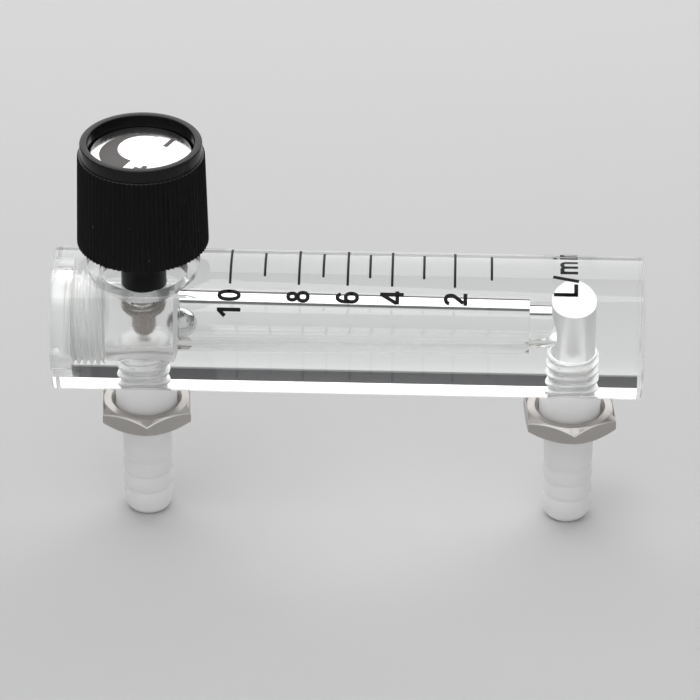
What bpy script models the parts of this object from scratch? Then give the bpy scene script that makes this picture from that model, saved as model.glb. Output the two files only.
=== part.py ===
"""Panel flowmeter for oxygen: a clear acrylic bar with a float ball, a needle valve and two hose barbs.

Lengths are in metres. The bar lies along X, the knob points up and the barbs point down.
The origin is under the middle of the bar, level with the tips of the barbs.
"""
import math

import bmesh
import bpy
from mathutils import Matrix

# Room between pieces
SEAT_GAP = 0.0003
THREAD_GAP = 0.0002
SEAL_GAP = 0.0001

# Acrylic bar
BODY_RADIUS = 0.01375
BODY_LENGTH = 0.1124
BODY_EDGE = 0.0003
VALVE_FROM_END = 0.0172
PORT_SPACING = 0.082

# Float ball and its tapered bore
BALL_RADIUS = 0.003
BORE_SLACK = 0.0007
BORE_TAPER = 0.00045
BALL_PAST_MOUTH = 0.0005
THROAT_LEDGE = 0.00015
THROAT_LENGTH = 0.0041
THROAT_INTO_HOLE = 0.0028
CHAMBER_RADIUS = 0.00555
CHAMBER_PAST_VALVE = 0.0067

# Plug in the left end
PLUG_THREAD_RADIUS = 0.006
PLUG_LENGTH = 0.0098
PLUG_FLANGE_RADIUS = 0.0074
PLUG_FLANGE = 0.0024
PLUG_EDGE = 0.0002
PLUG_SLOT_WIDTH = 0.0014
PLUG_SLOT_DEPTH = 0.0014
PLUG_SLOT_TILT = math.radians(17)
PLUG_SEAL_SECTION = 0.0007
PLUG_SEAL_EDGE = 0.00015

# Pocket under the knob, round the spindle
SPOTFACE_RADIUS = 0.0108
SPOTFACE_DEPTH = 0.0025
RECESS_RADIUS = 0.0084
RECESS_DEPTH = 0.0028

# Hose barbs
FITTING_THREAD_RADIUS = 0.005
FITTING_THREAD_EDGE = 0.0005
COLLAR_RADIUS = 0.00593
COLLAR_SEAT_DEPTH = 0.00155
COLLAR_BELOW_NUT = 0.0004
CONE_LENGTH = 0.0018
HOSE_RADIUS = 0.00462
BARB_RISE = 0.00028
BARB_LIP = 0.0002
BARB_PITCH = 0.0033
BARB_COUNT = 5
HOSE_NECK = 0.0006
TIP_LENGTH = 0.0018
TIP_NARROWING = 0.001
TIP_BEND_SHARE = 1 / 3
HOSE_BORE_RADIUS = 0.0024
INLET_HOLE_RADIUS = 0.0043
INLET_HOLE_RISE = 0.0042
INLET_THREAD_DROP = 0.0034

# Valve seat on the outlet barb
SEAT_RIM_RADIUS = 0.0024
SEAT_RIM_RISE = 0.0003
SEAT_SHOULDER_RISE = 0.00015
ORIFICE_RADIUS = 0.0012
ORIFICE_LENGTH = 0.0035

# Panel nuts
PANEL_ROOM = 0.00402
NUT_THICKNESS = 0.0038
NUT_ACROSS_FLATS = 0.017
NUT_CHAMFER = 0.0006
NUT_CHAMFER_ANGLE = math.radians(30)
NUT_BORE_EDGE = 0.0006
NUT_TURNS = {"outlet_nut": 0.0, "inlet_nut": math.radians(5)}

# Valve spindle
SPINDLE_RADIUS = 0.0043
SPINDLE_TIP_RADIUS = 0.0023
SPINDLE_THREAD_FOOT = 0.003
SPINDLE_SEAL_HEIGHT = 0.0076
SPINDLE_SEAL_SECTION = 0.001
POST_RADIUS = 0.003
POST_FLAT = 0.0006
VALVE_LIFT = 0.0013
PAD_HEIGHT = 0.0018
PAD_DOME_SHARE = 0.6
PAD_STEM_RADIUS = 0.0008
PAD_STEM_LENGTH = 0.0015

# Knob
KNOB_ABOVE_BODY = 0.00389
KNOB_HEIGHT = 0.02124
KNOB_TOP_RADIUS = 0.0115
KNOB_SKIRT_RISE = 0.0005
KNOB_FLARE = 0.0005
KNOB_BAND = 0.0021
KNOB_RIM_EDGE = 0.0003
KNOB_RIM_WIDTH = 0.0014
KNOB_WALL = 0.0016
KNOB_WEB = 0.0024
RIB_COUNT = 80
RIB_DEPTH = 0.0003
FACETS_A_RIB = 4
HUB_RADIUS = 0.0052
HUB_SETBACK = 0.003

# Disc in the knob, and the screw under it
WELL_DEPTH = 0.0022
WELL_DRAFT = 0.0003
DISC_THICKNESS = 0.0008
DISC_EDGE = 0.0001
SCREW_RADIUS = 0.0015
SCREW_HEAD_RADIUS = 0.0028
SCREW_HEAD_HEIGHT = 0.0018
SCREW_HEAD_EDGE = 0.0006
SCREW_LENGTH = 0.0068
SCREW_SLOT_WIDTH = 0.0007
SCREW_SLOT_DEPTH = 0.0009
SCREW_SHELF = 0.0013

# Facets and shading
BAR_SIDES = 72
BORE_SIDES = 40
SMALL_SIDES = 32
BALL_RINGS = 12
RING_SIDES = 8
DOME_STEPS = 6
CREASE_ANGLE = math.radians(28)
MERGE = 0.000002
CUT_OVER = 0.002
CUTTER_START = math.radians(1.7)

# Places along the bar, from its middle
LEFT_X = -BODY_LENGTH / 2
VALVE_X = LEFT_X + VALVE_FROM_END
INLET_X = VALVE_X + PORT_SPACING
CHAMBER_END_X = VALVE_X + CHAMBER_PAST_VALVE
PLUG_END_X = LEFT_X + PLUG_LENGTH
COUNTERBORE_X = LEFT_X + PLUG_FLANGE + PLUG_SEAL_SECTION + 2 * SEAT_GAP
BORE_END_X = INLET_X - INLET_HOLE_RADIUS - THROAT_LENGTH
BALL_X = CHAMBER_END_X + BALL_PAST_MOUTH

# Radii that follow from the pieces inside
THROAT_RADIUS = BALL_RADIUS - THROAT_LEDGE
BORE_END_RADIUS = BALL_RADIUS + BORE_SLACK
BORE_MOUTH_RADIUS = BORE_END_RADIUS + BORE_TAPER
SPINDLE_HOLE_RADIUS = SPINDLE_RADIUS + THREAD_GAP
PORT_RADIUS = FITTING_THREAD_RADIUS + THREAD_GAP
COLLAR_SEAT_RADIUS = COLLAR_RADIUS + SEAT_GAP

# Heights above the bar's axis; what hangs below is negative
COLLAR_SEAT_Z = -BODY_RADIUS + COLLAR_SEAT_DEPTH
COLLAR_TOP_Z = COLLAR_SEAT_Z - SEAT_GAP
NUT_TOP_Z = -BODY_RADIUS - PANEL_ROOM
NUT_FOOT_Z = NUT_TOP_Z - NUT_THICKNESS
CONE_TOP_Z = NUT_FOOT_Z - COLLAR_BELOW_NUT
CONE_FOOT_Z = CONE_TOP_Z - CONE_LENGTH
BARBS_TOP_Z = CONE_FOOT_Z - HOSE_NECK
BARBS_FOOT_Z = BARBS_TOP_Z - BARB_COUNT * BARB_PITCH
TIP_Z = BARBS_FOOT_Z - TIP_LENGTH
AXIS_HEIGHT = -TIP_Z
OUTLET_TOP_Z = -CHAMBER_RADIUS + SEAT_SHOULDER_RISE
SEAT_RIM_Z = OUTLET_TOP_Z + SEAT_RIM_RISE
INLET_TOP_Z = -INLET_THREAD_DROP - SEAT_GAP
PAD_FOOT_Z = SEAT_RIM_Z + SEAT_GAP + VALVE_LIFT
PAD_TOP_Z = PAD_FOOT_Z + PAD_HEIGHT
SPINDLE_FOOT_Z = PAD_TOP_Z + SEAT_GAP
SPOTFACE_Z = BODY_RADIUS - SPOTFACE_DEPTH
RECESS_Z = SPOTFACE_Z - RECESS_DEPTH
KNOB_FOOT_Z = BODY_RADIUS + KNOB_ABOVE_BODY
KNOB_TOP_Z = KNOB_FOOT_Z + KNOB_HEIGHT
BAND_FOOT_Z = KNOB_TOP_Z - KNOB_BAND
DISC_TOP_Z = KNOB_TOP_Z - WELL_DEPTH
WELL_FLOOR_Z = DISC_TOP_Z - DISC_THICKNESS - SEAT_GAP
SCREW_SEAT_Z = WELL_FLOOR_Z - SCREW_HEAD_HEIGHT - 2 * SEAT_GAP
POST_HOLE_TOP_Z = SCREW_SEAT_Z - SCREW_SHELF
POST_TOP_Z = POST_HOLE_TOP_Z - SEAT_GAP
HUB_FOOT_Z = KNOB_FOOT_Z + HUB_SETBACK
NECK_TOP_Z = HUB_FOOT_Z - SEAT_GAP

# Knob radii
SKIRT_TOP_RADIUS = KNOB_TOP_RADIUS + KNOB_SKIRT_RISE
SKIRT_FOOT_RADIUS = SKIRT_TOP_RADIUS + KNOB_FLARE
WELL_RADIUS = KNOB_TOP_RADIUS - KNOB_RIM_WIDTH
DISC_RADIUS = WELL_RADIUS - WELL_DRAFT - SEAT_GAP
HOLLOW_RADIUS = SKIRT_TOP_RADIUS - RIB_DEPTH - KNOB_WALL


def new_collection(name):
    """A collection linked to the scene."""
    group = bpy.data.collections.new(name)
    bpy.context.scene.collection.children.link(group)
    return group


def new_material(name, colour, roughness, metallic=0.0, transmission=0.0):
    """A Principled material in the piece's own colour."""
    material = bpy.data.materials.new(name)
    material.use_nodes = True
    shader = material.node_tree.nodes["Principled BSDF"]
    shader.inputs["Base Color"].default_value = (*colour, 1.0)
    shader.inputs["Roughness"].default_value = roughness
    shader.inputs["Metallic"].default_value = metallic
    shader.inputs["Transmission Weight"].default_value = transmission
    material.diffuse_color = (*colour, 1.0)
    return material


def add_object(name, mesh, group, place=(0.0, 0.0, 0.0)):
    """An object in its collection, at its place."""
    obj = bpy.data.objects.new(name, mesh)
    obj.location = place
    group.objects.link(obj)
    return obj


def turned(name, profile, sides, group, place, ring=False, along_x=False, start=0.0):
    """A profile of (radius, height) turned about the object's own Z, or laid along X.

    The outer side is listed from the top down. A ring's profile is a closed loop.
    The facets begin at the start angle.
    """
    mesh = bpy.data.meshes.new(name)
    points = [(radius * math.cos(start), radius * math.sin(start), height) for radius, height in profile]
    edges = [(index, index + 1) for index in range(len(points) - 1)]
    if ring:
        edges.append((len(points) - 1, 0))
    mesh.from_pydata(points, edges, [])
    obj = add_object(name, mesh, group, place)
    if along_x:
        obj.rotation_euler = (0.0, math.radians(90), 0.0)
    screw = obj.modifiers.new("Turn", "SCREW")
    screw.steps = sides
    screw.render_steps = sides
    screw.use_merge_vertices = True
    screw.merge_threshold = MERGE
    return obj


def box(name, size, group, place, matrix=None):
    """A box of the given size, centred on its place."""
    mesh = bpy.data.meshes.new(name)
    bm = bmesh.new()
    bmesh.ops.create_cube(bm, size=1.0, matrix=Matrix.Diagonal((*size, 1.0)))
    if matrix is not None:
        bmesh.ops.transform(bm, matrix=matrix, verts=bm.verts)
    bm.to_mesh(mesh)
    bm.free()
    return add_object(name, mesh, group, place)


def frustum(name, sides, foot_radius, top_radius, foot, top, group, place):
    """A straight or tapered prism between two heights."""
    mesh = bpy.data.meshes.new(name)
    bm = bmesh.new()
    middle = Matrix.Translation((0.0, 0.0, (foot + top) / 2))
    bmesh.ops.create_cone(bm, cap_ends=True, segments=sides, radius1=foot_radius,
                          radius2=top_radius, depth=top - foot, matrix=middle)
    bm.to_mesh(mesh)
    bm.free()
    return add_object(name, mesh, group, place)


def combine(obj, other, operation):
    """Adds a Boolean of the other object."""
    boolean = obj.modifiers.new(other.name, "BOOLEAN")
    boolean.operation = operation
    boolean.solver = "EXACT"
    boolean.object = other


def finish(obj, material):
    """Applies the modifiers, shades round faces smooth and gives the piece its material."""
    graph = bpy.context.evaluated_depsgraph_get()
    mesh = bpy.data.meshes.new_from_object(obj.evaluated_get(graph))
    obj.modifiers.clear()
    obj.data = mesh
    mesh.name = obj.name
    mesh.materials.clear()
    mesh.materials.append(material)
    mesh.shade_smooth()
    mesh.set_sharp_from_angle(angle=CREASE_ANGLE)
    return obj


def arc(centre, radius, start, end, steps):
    """Points on a circular arc, as (radius, height)."""
    points = []
    for step in range(steps + 1):
        angle = start + (end - start) * step / steps
        points.append((centre[0] + radius * math.cos(angle), centre[1] + radius * math.sin(angle)))
    return points


def ring_section(radius, height, section):
    """The round section of a seal ring, listed with its outer side going down."""
    return arc((radius, height), section / 2, math.pi, -math.pi, RING_SIDES)[:-1]


def make_body(parts, cutters, material):
    """The clear bar, with its plug hole, chamber, tapered bore, throat, ports and valve pocket."""
    axis = (0.0, 0.0, AXIS_HEIGHT)
    right = BODY_LENGTH / 2
    bar = [(0.0, right), (BODY_RADIUS - BODY_EDGE, right), (BODY_RADIUS, right - BODY_EDGE),
           (BODY_RADIUS, LEFT_X + BODY_EDGE), (BODY_RADIUS - BODY_EDGE, LEFT_X), (0.0, LEFT_X)]
    body = turned("acrylic_body", bar, BAR_SIDES, parts, axis, along_x=True)

    plug_hole = PLUG_THREAD_RADIUS + THREAD_GAP
    counterbore = PLUG_FLANGE_RADIUS + SEAT_GAP
    bore_tip = INLET_X - INLET_HOLE_RADIUS + THROAT_INTO_HOLE
    bore = [(0.0, bore_tip), (THROAT_RADIUS, bore_tip), (THROAT_RADIUS, BORE_END_X),
            (BORE_END_RADIUS, BORE_END_X), (BORE_MOUTH_RADIUS, CHAMBER_END_X),
            (CHAMBER_RADIUS, CHAMBER_END_X), (CHAMBER_RADIUS, PLUG_END_X + SEAT_GAP),
            (plug_hole, PLUG_END_X + SEAT_GAP), (plug_hole, COUNTERBORE_X),
            (counterbore, COUNTERBORE_X), (counterbore, LEFT_X - CUT_OVER), (0.0, LEFT_X - CUT_OVER)]
    bore_cutter = turned("bore_cutter", bore, BORE_SIDES, cutters, axis, along_x=True, start=CUTTER_START)

    under = -BODY_RADIUS - CUT_OVER
    seat = [(PORT_RADIUS, COLLAR_SEAT_Z), (COLLAR_SEAT_RADIUS, COLLAR_SEAT_Z),
            (COLLAR_SEAT_RADIUS, under), (0.0, under)]
    inlet = [(0.0, INLET_HOLE_RISE), (INLET_HOLE_RADIUS, INLET_HOLE_RISE),
             (INLET_HOLE_RADIUS, -INLET_THREAD_DROP), (PORT_RADIUS, -INLET_THREAD_DROP)]
    outlet = [(0.0, 0.0), (PORT_RADIUS, 0.0)]
    valve_place = (VALVE_X, 0.0, AXIS_HEIGHT)
    inlet_place = (INLET_X, 0.0, AXIS_HEIGHT)
    inlet_cutter = turned("inlet_cutter", inlet + seat, BORE_SIDES, cutters, inlet_place,
                          start=CUTTER_START)
    outlet_cutter = turned("outlet_cutter", outlet + seat, BORE_SIDES, cutters, valve_place,
                           start=CUTTER_START)

    over = BODY_RADIUS + CUT_OVER
    pocket = [(0.0, over), (SPOTFACE_RADIUS, over), (SPOTFACE_RADIUS, SPOTFACE_Z),
              (RECESS_RADIUS, SPOTFACE_Z), (RECESS_RADIUS, RECESS_Z),
              (SPINDLE_HOLE_RADIUS, RECESS_Z), (SPINDLE_HOLE_RADIUS, 0.0), (0.0, 0.0)]
    pocket_cutter = turned("pocket_cutter", pocket, BORE_SIDES, cutters, valve_place, start=CUTTER_START)

    for cutter in (bore_cutter, inlet_cutter, outlet_cutter, pocket_cutter):
        combine(body, cutter, "DIFFERENCE")
    return finish(body, material)


def make_plug(parts, cutters, material):
    """The screwed end plug, flush with the bar, with a slot across its face."""
    face = LEFT_X
    flange_back = face + PLUG_FLANGE
    profile = [(0.0, PLUG_END_X), (PLUG_THREAD_RADIUS - PLUG_EDGE, PLUG_END_X),
               (PLUG_THREAD_RADIUS, PLUG_END_X - PLUG_EDGE), (PLUG_THREAD_RADIUS, flange_back),
               (PLUG_FLANGE_RADIUS, flange_back), (PLUG_FLANGE_RADIUS, face + PLUG_EDGE),
               (PLUG_FLANGE_RADIUS - PLUG_EDGE, face), (0.0, face)]
    plug = turned("end_plug", profile, BORE_SIDES, parts, (0.0, 0.0, AXIS_HEIGHT), along_x=True)
    slot_size = (2 * PLUG_SLOT_DEPTH, 2 * (PLUG_FLANGE_RADIUS + CUT_OVER), PLUG_SLOT_WIDTH)
    tilt = Matrix.Rotation(PLUG_SLOT_TILT, 4, "X")
    slot = box("plug_slot_cutter", slot_size, cutters, (face, 0.0, AXIS_HEIGHT), tilt)
    combine(plug, slot, "DIFFERENCE")
    return finish(plug, material)


def make_plug_seal(parts, material):
    """The flat seal ring between the plug's flange and the counterbore's floor."""
    inner = PLUG_THREAD_RADIUS + SEAT_GAP
    outer = PLUG_FLANGE_RADIUS - PLUG_EDGE
    back = COUNTERBORE_X - SEAT_GAP
    front = back - PLUG_SEAL_SECTION
    profile = [(inner, back), (outer - PLUG_SEAL_EDGE, back), (outer, back - PLUG_SEAL_EDGE),
               (outer, front + PLUG_SEAL_EDGE), (outer - PLUG_SEAL_EDGE, front), (inner, front)]
    seal = turned("plug_seal", profile, BORE_SIDES, parts, (0.0, 0.0, AXIS_HEIGHT), ring=True, along_x=True)
    return finish(seal, material)


def hose_end():
    """The collar, cone, barbs and tip that both fittings share, from the top down."""
    points = [(FITTING_THREAD_RADIUS, COLLAR_TOP_Z), (COLLAR_RADIUS, COLLAR_TOP_Z),
              (COLLAR_RADIUS, CONE_TOP_Z), (HOSE_RADIUS, CONE_FOOT_Z)]
    for barb in range(BARB_COUNT):
        top = BARBS_TOP_Z - barb * BARB_PITCH
        points.append((HOSE_RADIUS, top))
        points.append((HOSE_RADIUS + BARB_RISE, top - BARB_LIP))
    points.append((HOSE_RADIUS, BARBS_FOOT_Z))
    bend = (HOSE_RADIUS - TIP_BEND_SHARE * TIP_NARROWING, TIP_Z + TIP_BEND_SHARE * TIP_LENGTH)
    return points + [bend, (HOSE_RADIUS - TIP_NARROWING, TIP_Z)]


def make_fitting(name, x, top, has_seat, parts, material):
    """A hose barb, open from end to end; the outlet's has the valve's orifice and seat."""
    outer = [(FITTING_THREAD_RADIUS - FITTING_THREAD_EDGE, top),
             (FITTING_THREAD_RADIUS, top - FITTING_THREAD_EDGE)]
    if has_seat:
        rim = top + SEAT_RIM_RISE
        orifice_foot = rim - ORIFICE_LENGTH
        head = [(ORIFICE_RADIUS, rim), (SEAT_RIM_RADIUS, rim), (SEAT_RIM_RADIUS, top)]
        widening = HOSE_BORE_RADIUS - ORIFICE_RADIUS
        inner = [(HOSE_BORE_RADIUS, TIP_Z), (HOSE_BORE_RADIUS, orifice_foot - widening),
                 (ORIFICE_RADIUS, orifice_foot)]
    else:
        head = []
        inner = [(HOSE_BORE_RADIUS, TIP_Z), (HOSE_BORE_RADIUS, top)]
    profile = head + outer + hose_end() + inner
    fitting = turned(name, profile, SMALL_SIDES, parts, (x, 0.0, AXIS_HEIGHT), ring=True)
    return finish(fitting, material)


def make_nut(name, x, parts, cutters, material):
    """A chamfered hexagon nut with a countersunk bore."""
    place = (x, 0.0, AXIS_HEIGHT)
    flat_radius = NUT_ACROSS_FLATS / 2
    corner_radius = flat_radius / math.cos(math.pi / 6)
    foot = NUT_FOOT_Z - CUT_OVER
    nut = frustum(name, 6, corner_radius, corner_radius, foot, NUT_TOP_Z + CUT_OVER, parts, place)
    nut.rotation_euler = (0.0, 0.0, NUT_TURNS[name])
    face_radius = flat_radius - NUT_CHAMFER / 2
    wide_radius = corner_radius + SEAT_GAP
    drop = (wide_radius - face_radius) * math.tan(NUT_CHAMFER_ANGLE)
    envelope = [(0.0, NUT_TOP_Z), (face_radius, NUT_TOP_Z), (wide_radius, NUT_TOP_Z - drop),
                (wide_radius, NUT_FOOT_Z + drop), (face_radius, NUT_FOOT_Z), (0.0, NUT_FOOT_Z)]
    chamfer = turned(name + "_chamfer", envelope, BORE_SIDES, cutters, place)
    bore = COLLAR_RADIUS + SEAT_GAP
    hole = [(0.0, NUT_TOP_Z + NUT_BORE_EDGE), (bore + 2 * NUT_BORE_EDGE, NUT_TOP_Z + NUT_BORE_EDGE),
            (bore, NUT_TOP_Z - NUT_BORE_EDGE), (bore, NUT_FOOT_Z + NUT_BORE_EDGE),
            (bore + 2 * NUT_BORE_EDGE, NUT_FOOT_Z - NUT_BORE_EDGE), (0.0, NUT_FOOT_Z - NUT_BORE_EDGE)]
    cutter = turned(name + "_bore_cutter", hole, SMALL_SIDES, cutters, place)
    combine(nut, chamfer, "INTERSECT")
    combine(nut, cutter, "DIFFERENCE")
    return finish(nut, material)


def make_ball(parts, material):
    """The float ball, lying on the bottom of the bore at its wide end."""
    share = BALL_PAST_MOUTH / (BORE_END_X - CHAMBER_END_X)
    bore_radius = BORE_MOUTH_RADIUS - BORE_TAPER * share
    place = (BALL_X, 0.0, AXIS_HEIGHT - bore_radius + BALL_RADIUS + SEAT_GAP)
    mesh = bpy.data.meshes.new("float_ball")
    bm = bmesh.new()
    bmesh.ops.create_uvsphere(bm, u_segments=2 * BALL_RINGS, v_segments=BALL_RINGS, radius=BALL_RADIUS)
    bm.to_mesh(mesh)
    bm.free()
    return finish(add_object("float_ball", mesh, parts, place), material)


def make_spindle(parts, cutters, carrier, material):
    """The valve spindle: a post for the knob, a neck with a seal groove, a thread and a tip."""
    screw_hole = SCREW_RADIUS + THREAD_GAP
    screw_floor = SCREW_SEAT_Z - SCREW_LENGTH
    groove = groove_radius()
    groove_top = SPINDLE_SEAL_HEIGHT + SPINDLE_SEAL_SECTION / 2 + SEAL_GAP
    groove_foot = SPINDLE_SEAL_HEIGHT - SPINDLE_SEAL_SECTION / 2 - SEAL_GAP
    socket = PAD_STEM_RADIUS + SEAT_GAP
    socket_top = PAD_TOP_Z + PAD_STEM_LENGTH + SEAT_GAP
    step = SPINDLE_RADIUS - SPINDLE_TIP_RADIUS
    profile = [(0.0, screw_floor), (screw_hole, screw_floor), (screw_hole, POST_TOP_Z),
               (POST_RADIUS, POST_TOP_Z), (POST_RADIUS, NECK_TOP_Z), (SPINDLE_RADIUS, NECK_TOP_Z),
               (SPINDLE_RADIUS, groove_top), (groove, groove_top), (groove, groove_foot),
               (SPINDLE_RADIUS, groove_foot),
               (SPINDLE_RADIUS, SPINDLE_THREAD_FOOT), (SPINDLE_TIP_RADIUS, SPINDLE_THREAD_FOOT - step / 2),
               (SPINDLE_TIP_RADIUS, SPINDLE_FOOT_Z), (socket, SPINDLE_FOOT_Z), (socket, socket_top),
               (0.0, socket_top)]
    place = (VALVE_X, 0.0, AXIS_HEIGHT)
    spindle = turned("valve_spindle", profile, SMALL_SIDES, parts, place)
    flat_height = POST_TOP_Z - NECK_TOP_Z
    flat_place = (VALVE_X, POST_RADIUS, AXIS_HEIGHT + (POST_TOP_Z + NECK_TOP_Z) / 2 + SEAT_GAP)
    flat = box("post_flat_cutter", (4 * POST_RADIUS, 2 * POST_FLAT, flat_height), cutters, flat_place)
    combine(spindle, flat, "DIFFERENCE")
    return carried(finish(spindle, material), carrier)


def groove_radius():
    """The floor of the spindle's seal groove, one seal section in from the hole's wall."""
    return SPINDLE_HOLE_RADIUS - SPINDLE_SEAL_SECTION - 2 * SEAL_GAP


def make_spindle_seal(parts, carrier, material):
    """The O-ring in the spindle's groove."""
    radius = groove_radius() + SEAL_GAP + SPINDLE_SEAL_SECTION / 2
    section = ring_section(radius, SPINDLE_SEAL_HEIGHT, SPINDLE_SEAL_SECTION)
    seal = turned("spindle_seal", section, SMALL_SIDES, parts, (VALVE_X, 0.0, AXIS_HEIGHT), ring=True)
    return carried(finish(seal, material), carrier)


def make_pad(parts, carrier, material):
    """The soft valve pad with a rounded face, held by its stem in the spindle's tip."""
    stem_top = PAD_TOP_Z + PAD_STEM_LENGTH
    dome = SPINDLE_TIP_RADIUS ** 2 / (2 * PAD_HEIGHT) + PAD_HEIGHT / 2
    centre = (0.0, PAD_FOOT_Z + dome)
    side = -math.asin((dome - PAD_DOME_SHARE * PAD_HEIGHT) / dome)
    rim = arc(centre, dome, side, -math.pi / 2, DOME_STEPS)
    profile = [(0.0, stem_top), (PAD_STEM_RADIUS, stem_top), (PAD_STEM_RADIUS, PAD_TOP_Z),
               (rim[0][0], PAD_TOP_Z)] + rim[:-1] + [(0.0, PAD_FOOT_Z)]
    pad = turned("valve_pad", profile, SMALL_SIDES, parts, (VALVE_X, 0.0, AXIS_HEIGHT))
    return carried(finish(pad, material), carrier)


def make_knob(parts, cutters, carrier, material):
    """The moulded knob: a ribbed, flared skirt, a smooth band, a well on top and a hollow underside."""
    place = (VALVE_X, 0.0, AXIS_HEIGHT)
    sides = FACETS_A_RIB * RIB_COUNT
    foot = SKIRT_FOOT_RADIUS
    knob = frustum("knob", sides, foot, SKIRT_TOP_RADIUS, KNOB_FOOT_Z, BAND_FOOT_Z, parts, place)
    step = 2 * math.pi / sides
    for vertex in knob.data.vertices:
        x, y, z = vertex.co
        radius = math.hypot(x, y)
        if round(math.atan2(y, x) / step) % FACETS_A_RIB < FACETS_A_RIB / 2:
            vertex.co = (x * (1 - RIB_DEPTH / radius), y * (1 - RIB_DEPTH / radius), z)

    edge = KNOB_RIM_EDGE
    overlap_z = BAND_FOOT_Z - KNOB_BAND / 2
    band = [(0.0, KNOB_TOP_Z), (KNOB_TOP_RADIUS - edge, KNOB_TOP_Z), (KNOB_TOP_RADIUS, KNOB_TOP_Z - edge),
            (KNOB_TOP_RADIUS, overlap_z), (0.0, overlap_z)]
    band_solid = turned("knob_band", band, BAR_SIDES, cutters, place)

    screw_hole = SCREW_RADIUS + THREAD_GAP
    head_hole = SCREW_HEAD_RADIUS + SEAT_GAP
    screw_hole_foot = POST_HOLE_TOP_Z - CUT_OVER / 2
    well = [(0.0, KNOB_TOP_Z + CUT_OVER), (WELL_RADIUS, KNOB_TOP_Z + CUT_OVER), (WELL_RADIUS, KNOB_TOP_Z),
            (WELL_RADIUS - WELL_DRAFT, WELL_FLOOR_Z), (head_hole, WELL_FLOOR_Z), (head_hole, SCREW_SEAT_Z),
            (screw_hole, SCREW_SEAT_Z), (screw_hole, screw_hole_foot), (0.0, screw_hole_foot)]
    well_cutter = turned("knob_well_cutter", well, BAR_SIDES, cutters, place)

    hollow_top = WELL_FLOOR_Z - KNOB_WEB
    hollow_foot_radius = HOLLOW_RADIUS + KNOB_FLARE / 2
    below = KNOB_FOOT_Z - CUT_OVER
    hollow = [(0.0, HUB_FOOT_Z), (HUB_RADIUS, HUB_FOOT_Z), (HUB_RADIUS, hollow_top),
              (HOLLOW_RADIUS, hollow_top), (hollow_foot_radius, below), (0.0, below)]
    hollow_cutter = turned("knob_hollow_cutter", hollow, BAR_SIDES, cutters, place)

    post_hole = POST_RADIUS + SEAT_GAP
    hole = [(0.0, POST_HOLE_TOP_Z), (post_hole, POST_HOLE_TOP_Z), (post_hole, below), (0.0, below)]
    post_cutter = turned("knob_post_cutter", hole, SMALL_SIDES, cutters, place)
    flat_place = (VALVE_X, POST_RADIUS + SEAT_GAP, AXIS_HEIGHT + (POST_HOLE_TOP_Z + below) / 2)
    flat_size = (4 * POST_RADIUS, 2 * POST_FLAT, POST_HOLE_TOP_Z - below + CUT_OVER)
    post_flat = box("knob_post_flat", flat_size, cutters, flat_place)
    combine(post_cutter, post_flat, "DIFFERENCE")

    combine(knob, band_solid, "UNION")
    combine(knob, hollow_cutter, "DIFFERENCE")
    combine(knob, well_cutter, "DIFFERENCE")
    combine(knob, post_cutter, "DIFFERENCE")
    return carried(finish(knob, material), carrier)


def make_disc(parts, carrier, material):
    """The metal disc that lies in the knob's well."""
    foot = DISC_TOP_Z - DISC_THICKNESS
    profile = [(0.0, DISC_TOP_Z), (DISC_RADIUS - DISC_EDGE, DISC_TOP_Z),
               (DISC_RADIUS, DISC_TOP_Z - DISC_EDGE), (DISC_RADIUS, foot), (0.0, foot)]
    disc = turned("knob_insert", profile, BAR_SIDES, parts, (VALVE_X, 0.0, AXIS_HEIGHT))
    return carried(finish(disc, material), carrier)


def make_screw(parts, cutters, carrier, material):
    """The slotted screw under the disc, which clamps the knob onto the spindle's post."""
    seat = SCREW_SEAT_Z + SEAT_GAP
    head_top = seat + SCREW_HEAD_HEIGHT
    tip = seat - SCREW_LENGTH
    profile = [(0.0, head_top), (SCREW_HEAD_RADIUS - SCREW_HEAD_EDGE, head_top),
               (SCREW_HEAD_RADIUS, head_top - SCREW_HEAD_EDGE), (SCREW_HEAD_RADIUS, seat),
               (SCREW_RADIUS, seat), (SCREW_RADIUS, tip), (0.0, tip)]
    screw = turned("knob_screw", profile, SMALL_SIDES, parts, (VALVE_X, 0.0, AXIS_HEIGHT))
    slot_place = (VALVE_X, 0.0, AXIS_HEIGHT + head_top)
    slot_size = (4 * SCREW_HEAD_RADIUS, SCREW_SLOT_WIDTH, 2 * SCREW_SLOT_DEPTH)
    slot = box("screw_slot_cutter", slot_size, cutters, slot_place)
    combine(screw, slot, "DIFFERENCE")
    return carried(finish(screw, material), carrier)


def carried(obj, carrier):
    """Parents a piece to the empty on the valve's axis, and leaves it where it is."""
    obj.parent = carrier
    obj.matrix_parent_inverse = carrier.matrix_world.inverted()
    return obj


def add_axis(name, place, group):
    """An empty that marks a joint's axis."""
    empty = bpy.data.objects.new(name, None)
    empty.location = place
    empty.empty_display_size = BODY_RADIUS
    group.objects.link(empty)
    bpy.context.view_layer.update()
    return empty


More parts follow.
